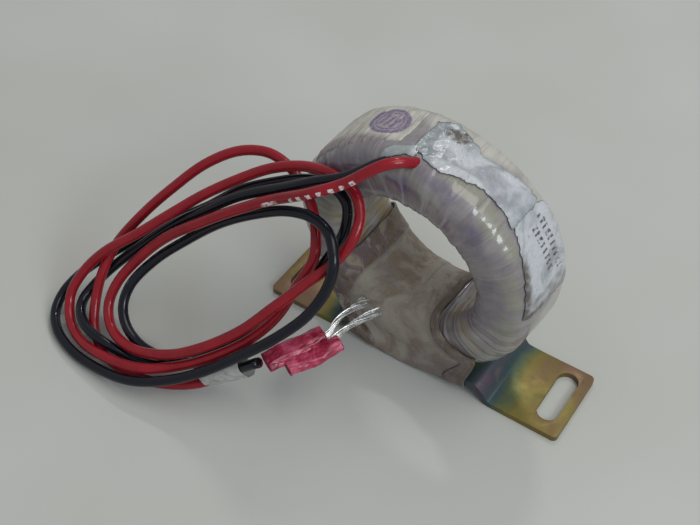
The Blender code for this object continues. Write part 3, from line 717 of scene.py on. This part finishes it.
def tint(degrees, around, patches):
    """How strongly a list of soft patches colours this point."""
    total = 0.0
    for centre, place, half_angle, half_width, strength in patches:
        turn = angle_from(degrees, centre)
        wobble = 0.5 * streak(degrees, around, 9.0, 0.12, 21.0)
        distance = math.hypot(turn / half_angle, (around - place) / half_width) + wobble
        total = max(total, strength * (1.0 - smoothstep(0.35, 1.15, distance)))
    return total


def crease_shade(degrees, around):
    """Grime and shade at the bottom of the folds."""
    depth = 0.15 + 0.25 * smoothstep(17.0, 30.0, abs(around)) + 1.0 * bunched(degrees, around)
    return min(1.0, depth) * smoothstep(0.60, 0.0, fold_line(degrees, around))


def film_material():
    finish = Finish("varnished_film", Roughness=0.36, Coat_Weight=0.75, Coat_Roughness=0.09)
    place = finish.place()
    turn, around = finish.value("turn"), finish.value("around")
    across = finish.vector(finish.times(turn, 0.9), finish.times(around, 0.05))
    streaks = finish.noise(across, 1.0, 5.0, 0.6, 0.3)
    cloudy = finish.noise(place, 110.0, 4.0, 0.6, 0.5)
    colour = finish.ramp(
        cloudy, (0.30, (0.160, 0.135, 0.145)), (0.50, (0.215, 0.195, 0.20)), (0.70, (0.275, 0.265, 0.25))
    )
    colour = finish.paint(colour, "cream", 0.85, (0.47, 0.455, 0.395))
    colour = finish.paint(colour, "olive", 0.70, (0.225, 0.225, 0.155))
    purple = finish.times(finish.value("purple"), finish.between(cloudy, 0.34, 0.60, 1.0, 0.30))
    colour = finish.mix(purple, colour, (0.105, 0.078, 0.155))
    dark = finish.between(streaks, 0.44, 0.26, 0.0, 0.40)
    colour = finish.mix(dark, colour, (0.12, 0.09, 0.10))
    light = finish.between(streaks, 0.60, 0.74, 0.0, 0.30)
    colour = finish.mix(light, colour, (0.50, 0.49, 0.48))
    amber = finish.times(finish.value("amber"), finish.between(cloudy, 0.64, 0.44, 0.30, 0.95))
    colour = finish.mix(amber, colour, (0.28, 0.205, 0.075))
    crease = finish.times(finish.value("crease"), finish.between(cloudy, 0.3, 0.6, 1.0, 0.6))
    colour = finish.mix(crease, colour, (0.075, 0.05, 0.045))
    finish.set("Base Color", colour)
    finish.set("Roughness", finish.between(streaks, 0.3, 0.7, 0.22, 0.46))
    finish.bump(streaks, 0.22, 0.5)
    finish.bump(cloudy, 0.5, 0.35)
    return finish.done()


def build_film(material):
    distances = np.linspace(-HALF_GIRTH, HALF_GIRTH, FILM_COLUMNS, endpoint=False)
    paints = {
        "turn": lambda degrees, around: degrees,
        "around": lambda degrees, around: around,
        "purple": lambda degrees, around: tint(degrees, around, PURPLE_PATCHES),
        "olive": lambda degrees, around: tint(degrees, around, OLIVE_PATCHES),
        "cream": lambda degrees, around: tint(degrees, around, CREAM_PATCHES),
        "amber": lambda degrees, around: tint(degrees, around, AMBER_PATCHES),
        "crease": crease_shade,
    }
    rows = []
    values = {key: [] for key in paints}
    for degrees in np.linspace(-180.0, 180.0, FILM_STATIONS, endpoint=False):
        rows.append([on_wrap(degrees, around, film_height(degrees, around)) for around in distances])
        for key, paint in paints.items():
            values[key].append([paint(degrees, around) for around in distances])
    film = grid_piece("film_skin", rows, material, wrap_rows=True, wrap_columns=True, **values)
    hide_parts("outer_wrap")
    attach(film, "root")


# Tapes stuck on the film -------------------------------------------------------------------------


def read_edge(table, position):
    """Reads a list of (degrees, distance around) pairs, sorted by angle."""
    return float(np.interp(position, [row[0] for row in table], [row[1] for row in table]))


def stuck_tape(
    name, back_edge, front_edge, lift, tear, crinkle, material, marks, seed, pitch=0.28, edge=0.04
):
    """A piece of tape that follows the film between two torn edges, which rise by the edge height.

    marks maps the name of each painted value to a function of the angle, the distance around, and the
    distance to the nearest edge.
    """
    first, last = back_edge[0][0], back_edge[-1][0]
    columns = int((last - first) * MM_PER_DEGREE / pitch)
    width = max(front[1] - read_edge(back_edge, front[0]) for front in front_edge)
    steps = int(width / pitch)
    rows = []
    values = {key: [] for key in marks}
    for column in range(columns + 1):
        share = column / columns
        degrees = first + (last - first) * share
        back = read_edge(back_edge, degrees) + tear * ripple(degrees * 0.35, seed, 1.0)
        front = read_edge(front_edge, degrees) + tear * ripple(degrees * 0.35, seed, 5.0)
        back += 0.4 * tear * ripple(degrees * 1.4, seed, 2.0)
        front += 0.4 * tear * ripple(degrees * 1.4, seed, 6.0)
        rows.append([])
        for painted in values.values():
            painted.append([])
        for step in range(steps + 1):
            around = back + (front - back) * step / steps
            end_tear = ripple(around * 0.35, seed, 9.0) + 0.5 * ripple(around * 1.3, seed, 11.0)
            near_end = smoothstep(0.25, 0.0, share) + smoothstep(0.75, 1.0, share)
            place = degrees + tear * 1.6 * end_tear * near_end
            to_end = min(place - first, last - place) * MM_PER_DEGREE
            to_edge = min(around - back, front - around, to_end)
            rise = edge * smoothstep(1.5, 0.0, to_edge)
            rise *= 1.0 + ripple(degrees * 0.2, around * 0.3, seed)
            broad = ripple(degrees * 0.33, around * 0.55, seed)
            sharp = abs(ripple(degrees * 0.9, around * 1.5, seed + 4.0))
            rough = crinkle * (0.6 * broad + 0.4 * sharp)
            height = film_height(place, around) * 0.75 + lift + rough + rise
            rows[-1].append(on_wrap(place, around, height))
            for key, paint in marks.items():
                values[key][-1].append(paint(place, around, to_edge))
    piece = grid_piece(name, rows, material, **values)
    thicken(piece, STUCK_TAPE_THICKNESS)
    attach(piece, "root")
    return piece


def stamp(degrees, around, _):
    """An oval double ring round three short bars."""
    centre_degrees, centre_around, size = 114.0, -1.6, 1.12
    lean, squash = math.radians(-14.0), 1.32
    x = (degrees - centre_degrees) * MM_PER_DEGREE / size
    y = (around - centre_around) / size
    x, y = x * math.cos(lean) + y * math.sin(lean), y * math.cos(lean) - x * math.sin(lean)
    y *= squash
    radius = math.hypot(x, y)
    if radius > 6.4:
        return 0.0
    worn = smoothstep(-0.55, 0.10, ripple(degrees * 1.1, around * 1.7, 3.3))
    rings = smoothstep(0.80, 0.45, abs(radius - 5.4))
    rings += 0.7 * smoothstep(0.40, 0.15, abs(radius - 4.0))
    bars = sum(smoothstep(0.6, 0.3, abs(x - place)) for place in (-2.1, 0.0, 2.1))
    bars *= smoothstep(2.6, 2.2, abs(y))
    haze = 0.58 * smoothstep(6.0, 5.0, radius)
    return min(1.0, rings + bars + haze) * (0.65 + 0.35 * worn)


def label_marks(degrees, around, _):
    """Two rows of short bars, as worn print."""
    centre_degrees, pitch = 29.0, 1.75
    across = (degrees - centre_degrees) * MM_PER_DEGREE
    for row_place, reach in ((-1.8, 7.6), (-5.2, 8.6)):
        if abs(around - row_place) < 1.05 and abs(across) < reach:
            step = (across / pitch) % 1.0
            bar = smoothstep(0.26, 0.16, abs(step - 0.45))
            foot = smoothstep(0.32, 0.2, abs(abs(around - row_place) - 0.85)) * (step < 0.72)
            foot *= 1.0 if int(across / pitch) % 2 else 0.0
            worn = smoothstep(-0.35, 0.0, ripple(degrees * 0.9, around * 1.1, 7.0))
            return min(1.0, bar + foot) * worn
    return 0.0


def edge_dirt(amount, seed):
    """A painter of dark grime along a torn edge, heavier towards the back, with a few specks."""

    def paint(degrees, around, to_edge):
        patchy = smoothstep(-0.25, 0.45, ripple(degrees * 0.16, around * 0.2, seed))
        line = smoothstep(0.55, 0.0, to_edge + 0.4 * ripple(degrees * 0.7, around * 0.9, seed))
        line *= 0.45 + 0.55 * smoothstep(0.0, -3.0, around)
        speck = smoothstep(0.50, 0.72, ripple(degrees * 0.8, around * 1.2, seed + 9.0))
        return min(1.0, amount * (line * (0.35 + 0.65 * patchy) + 0.6 * speck * patchy))

    return paint


def teal_tint(degrees, around, _):
    """The upper label's clear end, where the darker film shows through."""
    left = smoothstep(83.0, 92.0, degrees + 8.0 * ripple(degrees * 0.2, around * 0.3, 2.0))
    back = smoothstep(-1.0, -5.0, around + 2.0 * ripple(degrees * 0.3, around * 0.3, 6.0))
    back *= smoothstep(70.0, 78.0, degrees)
    end = smoothstep(52.0, 46.0, degrees + 3.0 * ripple(degrees * 0.5, around * 0.5, 8.0))
    return min(1.0, 0.8 * max(left, back) + 0.5 * end)


def back_smudge(degrees, around, to_edge):
    """A torn dirty spot at the back corner of the upper label."""
    spot = math.hypot((degrees - 84.0) * MM_PER_DEGREE / 3.6, (around + 5.0) / 2.4)
    spot += 0.8 * ripple(degrees * 0.55, around * 0.9, 12.0)
    return max(smoothstep(1.0, 0.45, spot), edge_dirt(0.9, 3.0)(degrees, around, to_edge))


def stained_edge(degrees, around, to_edge):
    """The lower label's brown front edge and its torn dirty lower end."""
    front = smoothstep(3.0, 0.6, to_edge) * (around > 3.0)
    front *= smoothstep(36.0, 28.0, degrees) * (0.75 + 0.5 * ripple(degrees * 0.4, around * 0.8, 5.0))
    end = smoothstep(16.0, 6.0, degrees + 7.0 * ripple(degrees * 0.3, around * 0.4, 6.0)) * 0.6
    return min(1.0, max(front * 1.3, end, edge_dirt(1.0, 6.0)(degrees, around, to_edge)))


def paper_material(name, ink_colour):
    finish = Finish(name, Roughness=0.42, Coat_Weight=0.35, Coat_Roughness=0.2)
    place = finish.place()
    colour = finish.ramp(
        finish.noise(place, 110.0, 3.0, 0.6, 0.8), (0.36, (0.26, 0.27, 0.29)), (0.52, (0.45, 0.465, 0.485))
    )
    colour = finish.paint(colour, "teal", 0.85, (0.17, 0.205, 0.205))
    colour = finish.paint(colour, "ink", 0.92, ink_colour)
    speck = finish.between(finish.noise(place, 800.0, 3.0, 0.6), 0.62, 0.70, 0.0, 0.6)
    colour = finish.mix(speck, colour, (0.28, 0.26, 0.24))
    colour = finish.paint(colour, "dirt", 0.9, (0.060, 0.045, 0.032))
    finish.set("Base Color", colour)
    finish.uneven_roughness(place, 260.0, 3.0, 0.22, 0.50)
    finish.bump(finish.cells(place, 210.0), 0.9, 0.5)
    finish.bump(finish.noise(place, 120.0, 3.0, 0.6, 1.6), 1.3, 0.6)
    return finish.done()


def patch_material():
    """Grey-green film over the ends of the leads."""
    finish = Finish("grey_green_film", Roughness=0.3, Coat_Weight=0.5, Coat_Roughness=0.12)
    place = finish.place()
    cloudy = finish.noise(place, 260.0, 4.0, 0.6, 0.6)
    colour = finish.ramp(cloudy, (0.32, (0.19, 0.205, 0.21)), (0.66, (0.33, 0.36, 0.355)))
    colour = finish.paint(colour, "dirt", 0.8, (0.06, 0.05, 0.05))
    finish.set("Base Color", colour)
    finish.bump(cloudy, 0.5, 0.6)
    return finish.done()


def cloth_tape_material():
    finish = Finish("cream_cloth_tape", Roughness=0.62, Coat_Weight=0.15, Coat_Roughness=0.3)
    place = finish.place()
    turn, around = finish.value("turn"), finish.value("around")
    across = finish.vector(finish.times(turn, 0.75), finish.times(around, 0.10))
    folds = finish.noise(across, 1.0, 4.0, 0.6)
    colour = finish.ramp(
        finish.noise(place, 120.0, 4.0, 0.6), (0.32, (0.37, 0.35, 0.30)), (0.60, (0.52, 0.505, 0.44))
    )
    # Painted shade: the colour darkens in the valleys of the fold bump.
    colour = finish.mix(finish.between(folds, 0.47, 0.30, 0.0, 0.75), colour, (0.17, 0.14, 0.13))
    mauve = finish.times(finish.value("mauve"), finish.between(folds, 0.62, 0.38, 0.55, 1.0))
    colour = finish.mix(mauve, colour, (0.165, 0.125, 0.145))
    colour = finish.paint(colour, "dirt", 0.7, (0.13, 0.11, 0.09))
    colour = finish.paint(colour, "ink", 0.85, (0.115, 0.065, 0.18))
    finish.set("Base Color", colour)
    finish.bump(folds, 0.4, 0.6)
    finish.bump(finish.noise(place, 1100.0, 2.0), 0.08, 0.5)
    return finish.done()


def no_mark(degrees, around, to_edge):
    return 0.0


def mauve_front(degrees, around, _):
    return smoothstep(3.0, 6.5, around + 1.5 * ripple(degrees * 0.12, around * 0.2, 4.0))


def build_stuck_tapes():
    paper = paper_material("white_paper_tape", (0.025, 0.022, 0.022))
    cloth = cloth_tape_material()
    film_patch = patch_material()
    rim = stuck_tape(
        "rim_tape_cloth",
        [(100, -9.5), (120, -11), (150, -9)],
        [(100, 5), (112, 7.5), (128, 10), (150, 10.5)],
        0.10, 0.5, 0.22, cloth,
        {
            "turn": lambda degrees, around, _: degrees,
            "around": lambda degrees, around, _: around,
            "ink": stamp,
            "mauve": mauve_front,
            "dirt": edge_dirt(0.25, 2.0),
        },
        2.0,
        pitch=0.2,
        edge=-0.45,
    )
    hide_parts("rim_tape")
    patch = stuck_tape(
        "exit_patch_film",
        [(92, 3.6), (95, 4.6), (105, 8.4)],
        [(92, 7.6), (95, 8.2), (105, 11.4)],
        0.40, 0.6, 0.2, film_patch,
        {"dirt": edge_dirt(0.6, 8.0)},
        5.0,
    )
    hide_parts("exit_patch")
    upper = stuck_tape(
        "label_upper",
        [(45, -7.6), (54, -7.0), (63, -5.6), (72, -4.2), (78, -6.0), (88, -8.4), (95, -6.0)],
        [(45, 4.6), (52, 3.6), (63, 3.4), (72, 5.4), (81, 7.9), (88, 6.9), (95, 4.6)],
        0.34, 0.7, 0.30, paper,
        {"ink": no_mark, "teal": teal_tint, "dirt": back_smudge},
        7.0,
    )
    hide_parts("label_tape_upper")
    lower = stuck_tape(
        "label_lower",
        [(5, -7), (14, -10.5), (30, -10.6), (38, -11.4), (43, -9.6), (47.5, -4.0)],
        [(5, 10.6), (14, 9.6), (25, 8.2), (37, 5.6), (43, 4.6), (47.5, 2.5)],
        0.24, 0.8, 0.30, paper,
        {"ink": label_marks, "teal": no_mark, "dirt": stained_edge},
        9.0,
    )
    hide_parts("label_tape_lower")


# Bracket and binding -----------------------------------------------------------------------------


def strap_centreline():
    """Points (x, z) along the middle of the strap's thickness, from foot to foot, in millimetres."""
    flat = STRAP_THICKNESS / 2
    span = SADDLE_RADIUS * math.sin(SADDLE_HALF_SPAN)
    saddle = []
    for x in np.linspace(RING_CENTRE.x - span, RING_CENTRE.x + span, 17):
        saddle.append((x, RING_CENTRE.z - math.sqrt(SADDLE_RADIUS**2 - (x - RING_CENTRE.x) ** 2)))
    left_crest = [
        (-STRAP_HALF_LENGTH, flat),
        (-FOOT_START_X - 1.2, flat),
        (-FOOT_START_X, flat + 0.3),
        (-CREST_X - 3.6, CREST_HEIGHT - 1.6),
        (-CREST_X - 2.0, CREST_HEIGHT - 0.3),
        (-CREST_X, CREST_HEIGHT),
    ]
    right_crest = [(-x, z) for x, z in reversed(left_crest)]
    right_crest = [(CREST_X - 2.2, CREST_HEIGHT - 0.3)] + right_crest
    return left_crest + saddle + right_crest


def strap_underside(x):
    points = strap_centreline()
    middle = float(np.interp(x, [point[0] for point in points], [point[1] for point in points]))
    return middle - STRAP_THICKNESS / 2 - 0.08


def bracket_material():
    """Yellow chromate over zinc: olive and gold, with pink, teal and blue films near the bends."""
    finish = Finish("yellow_chromated_zinc", Metallic=0.6, Roughness=0.42)
    place = finish.place()
    axes = finish.axes(place)
    from_bend = finish.math("SUBTRACT", finish.math("ABSOLUTE", axes[0]), 0.024)
    bend = finish.between(finish.math("ABSOLUTE", from_bend), 0.0, 0.011, 1.0, 0.0)
    drift = finish.noise(place, 42.0, 3.0, 0.5, 0.9)
    drifted = finish.between(drift, 0.3, 0.7, 0.36, 0.60)
    film = finish.math("ADD", finish.times(bend, 0.45), drifted)
    colour = finish.ramp(
        film,
        (0.30, (0.135, 0.080, 0.055)), (0.40, (0.195, 0.115, 0.07)), (0.48, (0.190, 0.130, 0.052)),
        (0.58, (0.205, 0.160, 0.040)), (0.68, (0.12, 0.14, 0.055)), (0.78, (0.045, 0.085, 0.09)),
        (0.90, (0.075, 0.065, 0.095)), (0.98, (0.14, 0.07, 0.085)),
    )
    grime = finish.between(finish.noise(place, 300.0, 4.0, 0.65), 0.56, 0.72, 0.0, 0.45)
    colour = finish.mix(grime, colour, (0.10, 0.065, 0.03))
    pale = finish.between(finish.noise(place, 130.0, 3.0, 0.6), 0.60, 0.75, 0.0, 0.35)
    finish.set("Base Color", finish.mix(pale, colour, (0.22, 0.185, 0.13)))
    finish.uneven_roughness(place, 220.0, 4.0, 0.36, 0.58)
    grain = finish.vector(finish.times(axes[0], 90.0), finish.times(axes[1], 1600.0))
    finish.bump(finish.noise(grain, 1.0, 3.0), 0.05, 0.35)
    finish.bump(finish.noise(place, 500.0, 3.0), 0.10, 0.35)
    return finish.done()


def slot_outline():
    """The slot's outline about its own centre, in millimetres."""
    radius = SLOT_WIDTH / 2
    points = []
    for end in (1, -1):
        for angle in np.linspace(0.0, math.pi, 17):
            turn = angle if end == 1 else angle + math.pi
            y = end * (SLOT_LENGTH / 2 - radius) + radius * math.sin(turn)
            points.append((radius * math.cos(turn), y))
    return points


def block(name, outline, centre, bottom, top):
    """An upright prism to cut with, removed again once it is used."""
    bm = bmesh.new()
    low, high = (
        [bm.verts.new(((x + centre[0]) * MM, (y + centre[1]) * MM, z * MM)) for x, y in outline]
        for z in (bottom, top)
    )
    bm.faces.new(low[::-1])
    bm.faces.new(high)
    for a, b, c, d in zip(low, low[1:] + low[:1], high[1:] + high[:1], high):
        bm.faces.new((a, b, c, d))
    return add_object(name, mesh_from(name, bm))


def round_outline(width, length, corner):
    """A rectangle's outline with round corners, about its own centre, in millimetres."""
    points = []
    for quarter, (sx, sy) in enumerate(((1, 1), (-1, 1), (-1, -1), (1, -1))):
        for angle in np.linspace(0.0, math.pi / 2, 6) + quarter * math.pi / 2:
            x = sx * (width / 2 - corner) + corner * math.cos(angle)
            points.append((x, sy * (length / 2 - corner) + corner * math.sin(angle)))
    return points


def build_bracket():
    """The strap with smooth bends, its punched slots and a small burr-free round on every edge."""
    spare, below, above = 1.0, -5.0, 15.0
    ends = strap_centreline()
    ends[0] = (ends[0][0] - spare, ends[0][1])
    ends[-1] = (ends[-1][0] + spare, ends[-1][1])
    middle = smooth_route([(x, 0.0, z) for x, z in ends], 260)
    half = STRAP_WIDTH / 2 + spare
    sides = (STRAP_MIDDLE_Y - half, STRAP_MIDDLE_Y + half)
    rows = [[(x * MM, y * MM, z * MM) for y in sides] for x, _, z in middle]
    bracket = grid_piece("bracket_strap", rows, bracket_material())
    thicken(bracket, STRAP_THICKNESS)
    bracket.modifiers["Thickness"].use_even_offset = True
    plan = round_outline(2 * STRAP_HALF_LENGTH, STRAP_WIDTH, 1.5)
    cutters = [("INTERSECT", block("plan", plan, (0.0, STRAP_MIDDLE_Y), below, above))]
    for side in (-1, 1):
        centre = (side * SLOT_CENTRE_X, SLOT_MIDDLE_Y)
        cutters.append(("DIFFERENCE", block(f"slot_{side}", slot_outline(), centre, below, above)))
    for operation, cutter in cutters:
        modifier = bracket.modifiers.new(cutter.name, "BOOLEAN")
        modifier.operation = operation
        modifier.object = cutter
    bevel = bracket.modifiers.new("Edge", "BEVEL")
    bevel.width = 0.22 * MM
    bevel.segments = 2
    bevel.limit_method = "ANGLE"
    bevel.angle_limit = math.radians(50.0)
    graph = bpy.context.evaluated_depsgraph_get()
    mesh = bpy.data.meshes.new_from_object(bracket.evaluated_get(graph))
    bracket.modifiers.clear()
    bracket.data = mesh
    for _, cutter in cutters:
        bpy.data.objects.remove(cutter)
    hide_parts("mounting_bracket")
    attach(bracket, "root")


def binding_loop(bore_degrees, rim_degrees, bottom_x):
    """One turn of tape in millimetres: through the bore, down the front, under the strap and back."""
    bend = CORNER + TAPE_CLEAR
    front_half = [(BORE - TAPE_CLEAR, 2.1), (BORE - TAPE_CLEAR, FLAT)]
    for degrees in (30, 60, 90):
        angle = math.radians(degrees)
        front_half.append((BORE + CORNER - bend * math.cos(angle), FLAT + bend * math.sin(angle)))
    for degrees in (0, 20):
        angle = math.radians(degrees)
        front_half.append((OUTER - CORNER + bend * math.sin(angle), FLAT + bend * math.cos(angle)))
    first_radius, last_radius = front_half[0][0], front_half[-1][0]

    def ring_point(radius, depth):
        share = (radius - first_radius) / (last_radius - first_radius)
        angle = math.radians(bore_degrees + (rim_degrees - bore_degrees) * share)
        point = Vector((radius * math.cos(angle), radius * math.sin(angle), depth)) * MM
        return (RING_MATRIX @ point) / MM

    front = [ring_point(radius, depth) for radius, depth in front_half]
    back = [ring_point(radius, -depth) for radius, depth in front_half]
    bottom_z = strap_underside(bottom_x) - TAPE_CLEAR
    front_y = STRAP_MIDDLE_Y - STRAP_WIDTH / 2 - TAPE_CLEAR
    back_y = STRAP_MIDDLE_Y + STRAP_WIDTH / 2 + TAPE_CLEAR
    bottom = []
    for y, inward in ((front_y, 0.5), (back_y, -0.5)):
        turn = [
            Vector((bottom_x, y, bottom_z + STRAP_THICKNESS + TAPE_CLEAR)),
            Vector((bottom_x, y, bottom_z + 0.5)),
            Vector((bottom_x, y + inward, bottom_z)),
        ]
        bottom += turn if inward > 0 else turn[::-1]
    bottom.insert(3, Vector((bottom_x, STRAP_MIDDLE_Y, bottom_z)))
    return front + bottom + back[::-1]


def binding_material(name, dark, light, stain_amount):
    """Woven cotton tape: two sets of threads, worn grey, with brown varnish stains."""
    finish = Finish(name, Roughness=0.8, Sheen_Weight=0.15)
    place = finish.place()
    along, across = finish.value("along"), finish.value("across")
    warp = finish.math("SINE", finish.times(across, 14.0))
    weft = finish.math("SINE", finish.times(along, 12.0))
    weave = finish.times(warp, weft)
    colour = finish.mix(finish.noise(place, 150.0, 5.0, 0.65), dark, light)
    stain = finish.between(finish.noise(place, 75.0, 5.0, 0.65, 0.6), 0.46, 0.58, 0.0, stain_amount)
    colour = finish.mix(stain, colour, (0.150, 0.090, 0.042))
    colour = finish.paint(colour, "stain", 0.85, (0.060, 0.038, 0.024))
    purple = finish.between(finish.noise(place, 60.0, 2.0), 0.54, 0.64, 0.0, 0.40)
    colour = finish.mix(purple, colour, (0.12, 0.085, 0.115))
    colour = finish.mix(finish.between(weave, -1.0, 1.0, 0.0, 0.30), colour, light)
    soaked = finish.value("soaked")
    varnish = finish.ramp(
        finish.noise(place, 190.0, 4.0, 0.65, 0.8),
        (0.34, (0.055, 0.032, 0.020)), (0.45, (0.16, 0.105, 0.045)), (0.55, (0.150, 0.105, 0.135)),
        (0.66, (0.34, 0.29, 0.19)),
    )
    finish.set("Base Color", finish.mix(soaked, colour, varnish))
    finish.set("Roughness", finish.between(soaked, 0.2, 0.8, 0.8, 0.24))
    finish.bump(weave, 0.22, 0.7)
    finish.bump(finish.noise(place, 170.0, 5.0, 0.65, 0.8), 1.2, 0.6)
    return finish.done()


def build_binding(
    name, node, first, last, columns, seed, soaked_to, all_soaked, material
):
    """A band of cloth between two turns, each given as its bore angle, rim angle and bottom x.

    soaked_to is the share of its width that is soaked in glossy varnish, from the first turn on, and
    all_soaked is how far the rest is.
    """
    stations = 300
    layer_edges, folds = (0.16, 0.42, 0.71), (0.175, 0.435, 0.725)
    rows, alongs, acrosses, stains, soaked = [], [], [], [], []
    for column in range(columns + 1):
        share = column / columns
        turn = [a + (b - a) * share for a, b in zip(first, last)]
        points = smooth_route([tuple(point) for point in binding_loop(*turn)], stations, closed=True)
        outward = np.roll(points, -1, axis=0) - np.roll(points, 1, axis=0)
        outward = np.cross(outward, (1.0, 0.0, 0.0))
        outward /= np.linalg.norm(outward, axis=1)[:, None] + 1e-9
        travelled = distances_along(points)
        width_here = share * BINDING_WIDTH
        row, stain_row, soaked_row = [], [], []
        for point, out, distance in zip(points, outward, travelled):
            edge = min(share, 1.0 - share)
            layer = 0.0
            for place in layer_edges:
                here = share + 0.03 * ripple(distance * 0.05, place, seed)
                layer += smoothstep(place, place + 0.03, here)
            wave = 0.22 * ripple(width_here * 0.22, distance * 0.10, seed)
            pucker = 0.10 * ripple(width_here * 0.9, distance * 0.10, seed + 5.0)
            height = (wave + pucker) * smoothstep(0.0, 0.1, edge) + 0.10 * layer * 0.5 - 0.05
            ragged = share + 0.10 * ripple(distance * 0.07, 0.0, seed + 2.0)
            soaking = smoothstep(soaked_to + 0.02, soaked_to - 0.02, ragged)
            soaked_row.append(max(soaking, all_soaked))
            height -= 0.45 * soaked_row[-1] * (1.0 - all_soaked)
            row.append(Vector(point - out * height) * MM)
            patchy = smoothstep(-0.2, 0.4, ripple(distance * 0.07, width_here * 0.15, seed + 8.0))
            line = smoothstep(0.10, 0.0, edge) * (0.4 + 0.6 * patchy)
            fold = sum(smoothstep(0.022, 0.0, abs(share - place)) for place in folds)
            left = smoothstep(0.30, 0.12, share) * 0.7 * patchy
            stain_row.append(min(1.0, line + 0.45 * fold * patchy + left))
        rows.append(row)
        alongs.append(list(travelled))
        acrosses.append([width_here] * stations)
        stains.append(stain_row)
        soaked.append(soaked_row)
    values = {"along": alongs, "across": acrosses, "stain": stains, "soaked": soaked}
    band = grid_piece(name, rows, material, wrap_columns=True, **values)
    thicken(band, BINDING_THICKNESS)
    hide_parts(node)
    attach(band, "root")


def build_bindings():
    cotton = binding_material("cotton_binding_tape", (0.190, 0.145, 0.100), (0.47, 0.44, 0.375), 0.8)
    # The under strip's darker colours are partly brown stain and varnish, partly painted shade of the
    # crevice beside the strap's crest.
    stained_and_shaded = binding_material("stained_shaded_binding_tape", (0.14, 0.10, 0.062), (0.36, 0.30, 0.215), 0.8)
    build_binding(
        "binding_cloth", "binding_tape",
        (-154, -147, -19.5), (-67, -52, 12.5), 72, 3.0, 0.25, 0.0, cotton,
    )
    build_binding(
        "binding_cloth_under", "binding_tape_under",
        (-66.5, -52, 12.7), (-60, -42, 19.2), 16, 8.0, 0.0, 0.55, stained_and_shaded,
    )


# Materials of the CAD nodes that stay ------------------------------------------------------------


def steel_material():
    finish = Finish("silicon_steel", Metallic=1.0, Roughness=0.38)
    place = ring_place(finish)
    axes = finish.axes(place)
    squares = [finish.math("POWER", axes[axis], 2.0) for axis in (0, 1)]
    radius = finish.math("SQRT", finish.math("ADD", *squares))
    layers = finish.noise(finish.vector(finish.times(radius, 5200.0), 0.0), 1.0, 1.0)
    mottle = finish.noise(place, 130.0, 3.0)
    finish.set("Base Color", finish.mix(mottle, (0.21, 0.22, 0.24), (0.40, 0.40, 0.41)))
    finish.bump(layers, 0.06, 0.6)
    return finish.done()


def board_material(name, dark, light, fibre):
    finish = Finish(name, Roughness=0.78)
    place = finish.place()
    fibres = finish.noise(place, fibre, 4.0, 0.65, 0.5)
    finish.set("Base Color", finish.mix(finish.noise(place, 90.0, 3.0), dark, light))
    finish.set("Roughness", finish.between(fibres, 0.3, 0.7, 0.62, 0.86))
    finish.bump(fibres, 0.12, 0.5)
    return finish.done()


def enamel_material(name, wires_round):
    """Enamelled magnet wire laid side by side across the ring."""
    finish = Finish(name, Metallic=0.9, Roughness=0.3, Coat_Weight=0.5, Coat_Roughness=0.1)
    place = ring_place(finish)
    axes = finish.axes(place)
    angle = finish.math("ARCTAN2", axes[1], axes[0])
    wires = finish.math("SINE", finish.times(angle, wires_round))
    shade = finish.mix(finish.noise(place, 200.0, 3.0), (0.30, 0.085, 0.025), (0.62, 0.24, 0.08))
    # Painted shade: the colour darkens in the grooves between the wires.
    gaps = finish.between(wires, -1.0, -0.4, 0.7, 0.0)
    finish.set("Base Color", finish.mix(gaps, shade, (0.08, 0.02, 0.01)))
    finish.bump(wires, 0.15, 0.8)
    return finish.done()


def sleeving_material(name, dark, light):
    """Braided sleeving with a coat of varnish."""
    finish = Finish(name, Roughness=0.5, Coat_Weight=0.2, Coat_Roughness=0.3)
    place = finish.place()
    braid = finish.cells(place, 2400.0)
    finish.set("Base Color", finish.mix(braid, dark, light))
    finish.bump(braid, 0.1, 0.7)
    return finish.done()


def finish_cad_nodes():
    band = board_material("core_band_tape", (0.50, 0.41, 0.26), (0.68, 0.58, 0.40), 700.0)
    washer = board_material("pressboard", (0.36, 0.26, 0.15), (0.52, 0.40, 0.25), 900.0)
    materials = {
        "core": steel_material(),
        "core_band_outer": band,
        "core_band_inner": band,
        "core_washer_front": washer,
        "core_washer_back": washer,
        "secondary_winding": enamel_material("enamelled_winding", 230.0),
        "winding_start_wire": enamel_material("enamelled_wire", 60.0),
        "splice_sleeve_red": sleeving_material(
            "red_sleeving", (0.24, 0.02, 0.015), (0.50, 0.09, 0.07)
        ),
        "splice_sleeve_black": sleeving_material(
            "black_sleeving", (0.015, 0.015, 0.015), (0.07, 0.07, 0.07)
        ),
        "saddle_pad": board_material("fishpaper", (0.20, 0.155, 0.10), (0.36, 0.30, 0.21), 800.0),
    }
    materials["winding_finish_wire"] = materials["winding_start_wire"]
    for node, material in materials.items():
        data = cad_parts[node].data
        data.materials.clear()
        data.materials.append(material)


build_camera()
build_lights()
build_floor()

red_pvc = lead_material(
    "red_pvc", (0.15, 0.004, 0.010), (0.33, 0.010, 0.018), (0.62, 0.56, 0.57), 21.0, 43.0
)
black_pvc = lead_material(
    "black_pvc", (0.003, 0.003, 0.006), (0.008, 0.009, 0.016), (0.2, 0.2, 0.2), 540.0, 600.0
)
tinned = tinned_material()
red_strands = build_strands("red_lead_strands", "red_lead_end", RED_END_ROUTE, 12, 4, tinned)
black_strands = build_strands("black_lead_strands", "black_lead_end", BLACK_END_ROUTE, 9, 9, tinned)
flag = build_flag(pink_tape_material())
clear_tape = build_clear_tape(clear_tape_material())
build_lead("red_lead_pvc", "red_lead", RED_ROUTE, red_pvc)
build_lead(
    "black_lead_pvc", "black_lead", BLACK_ROUTE, black_pvc,
)

build_film(film_material())
build_stuck_tapes()
build_bracket()
build_bindings()
finish_cad_nodes()
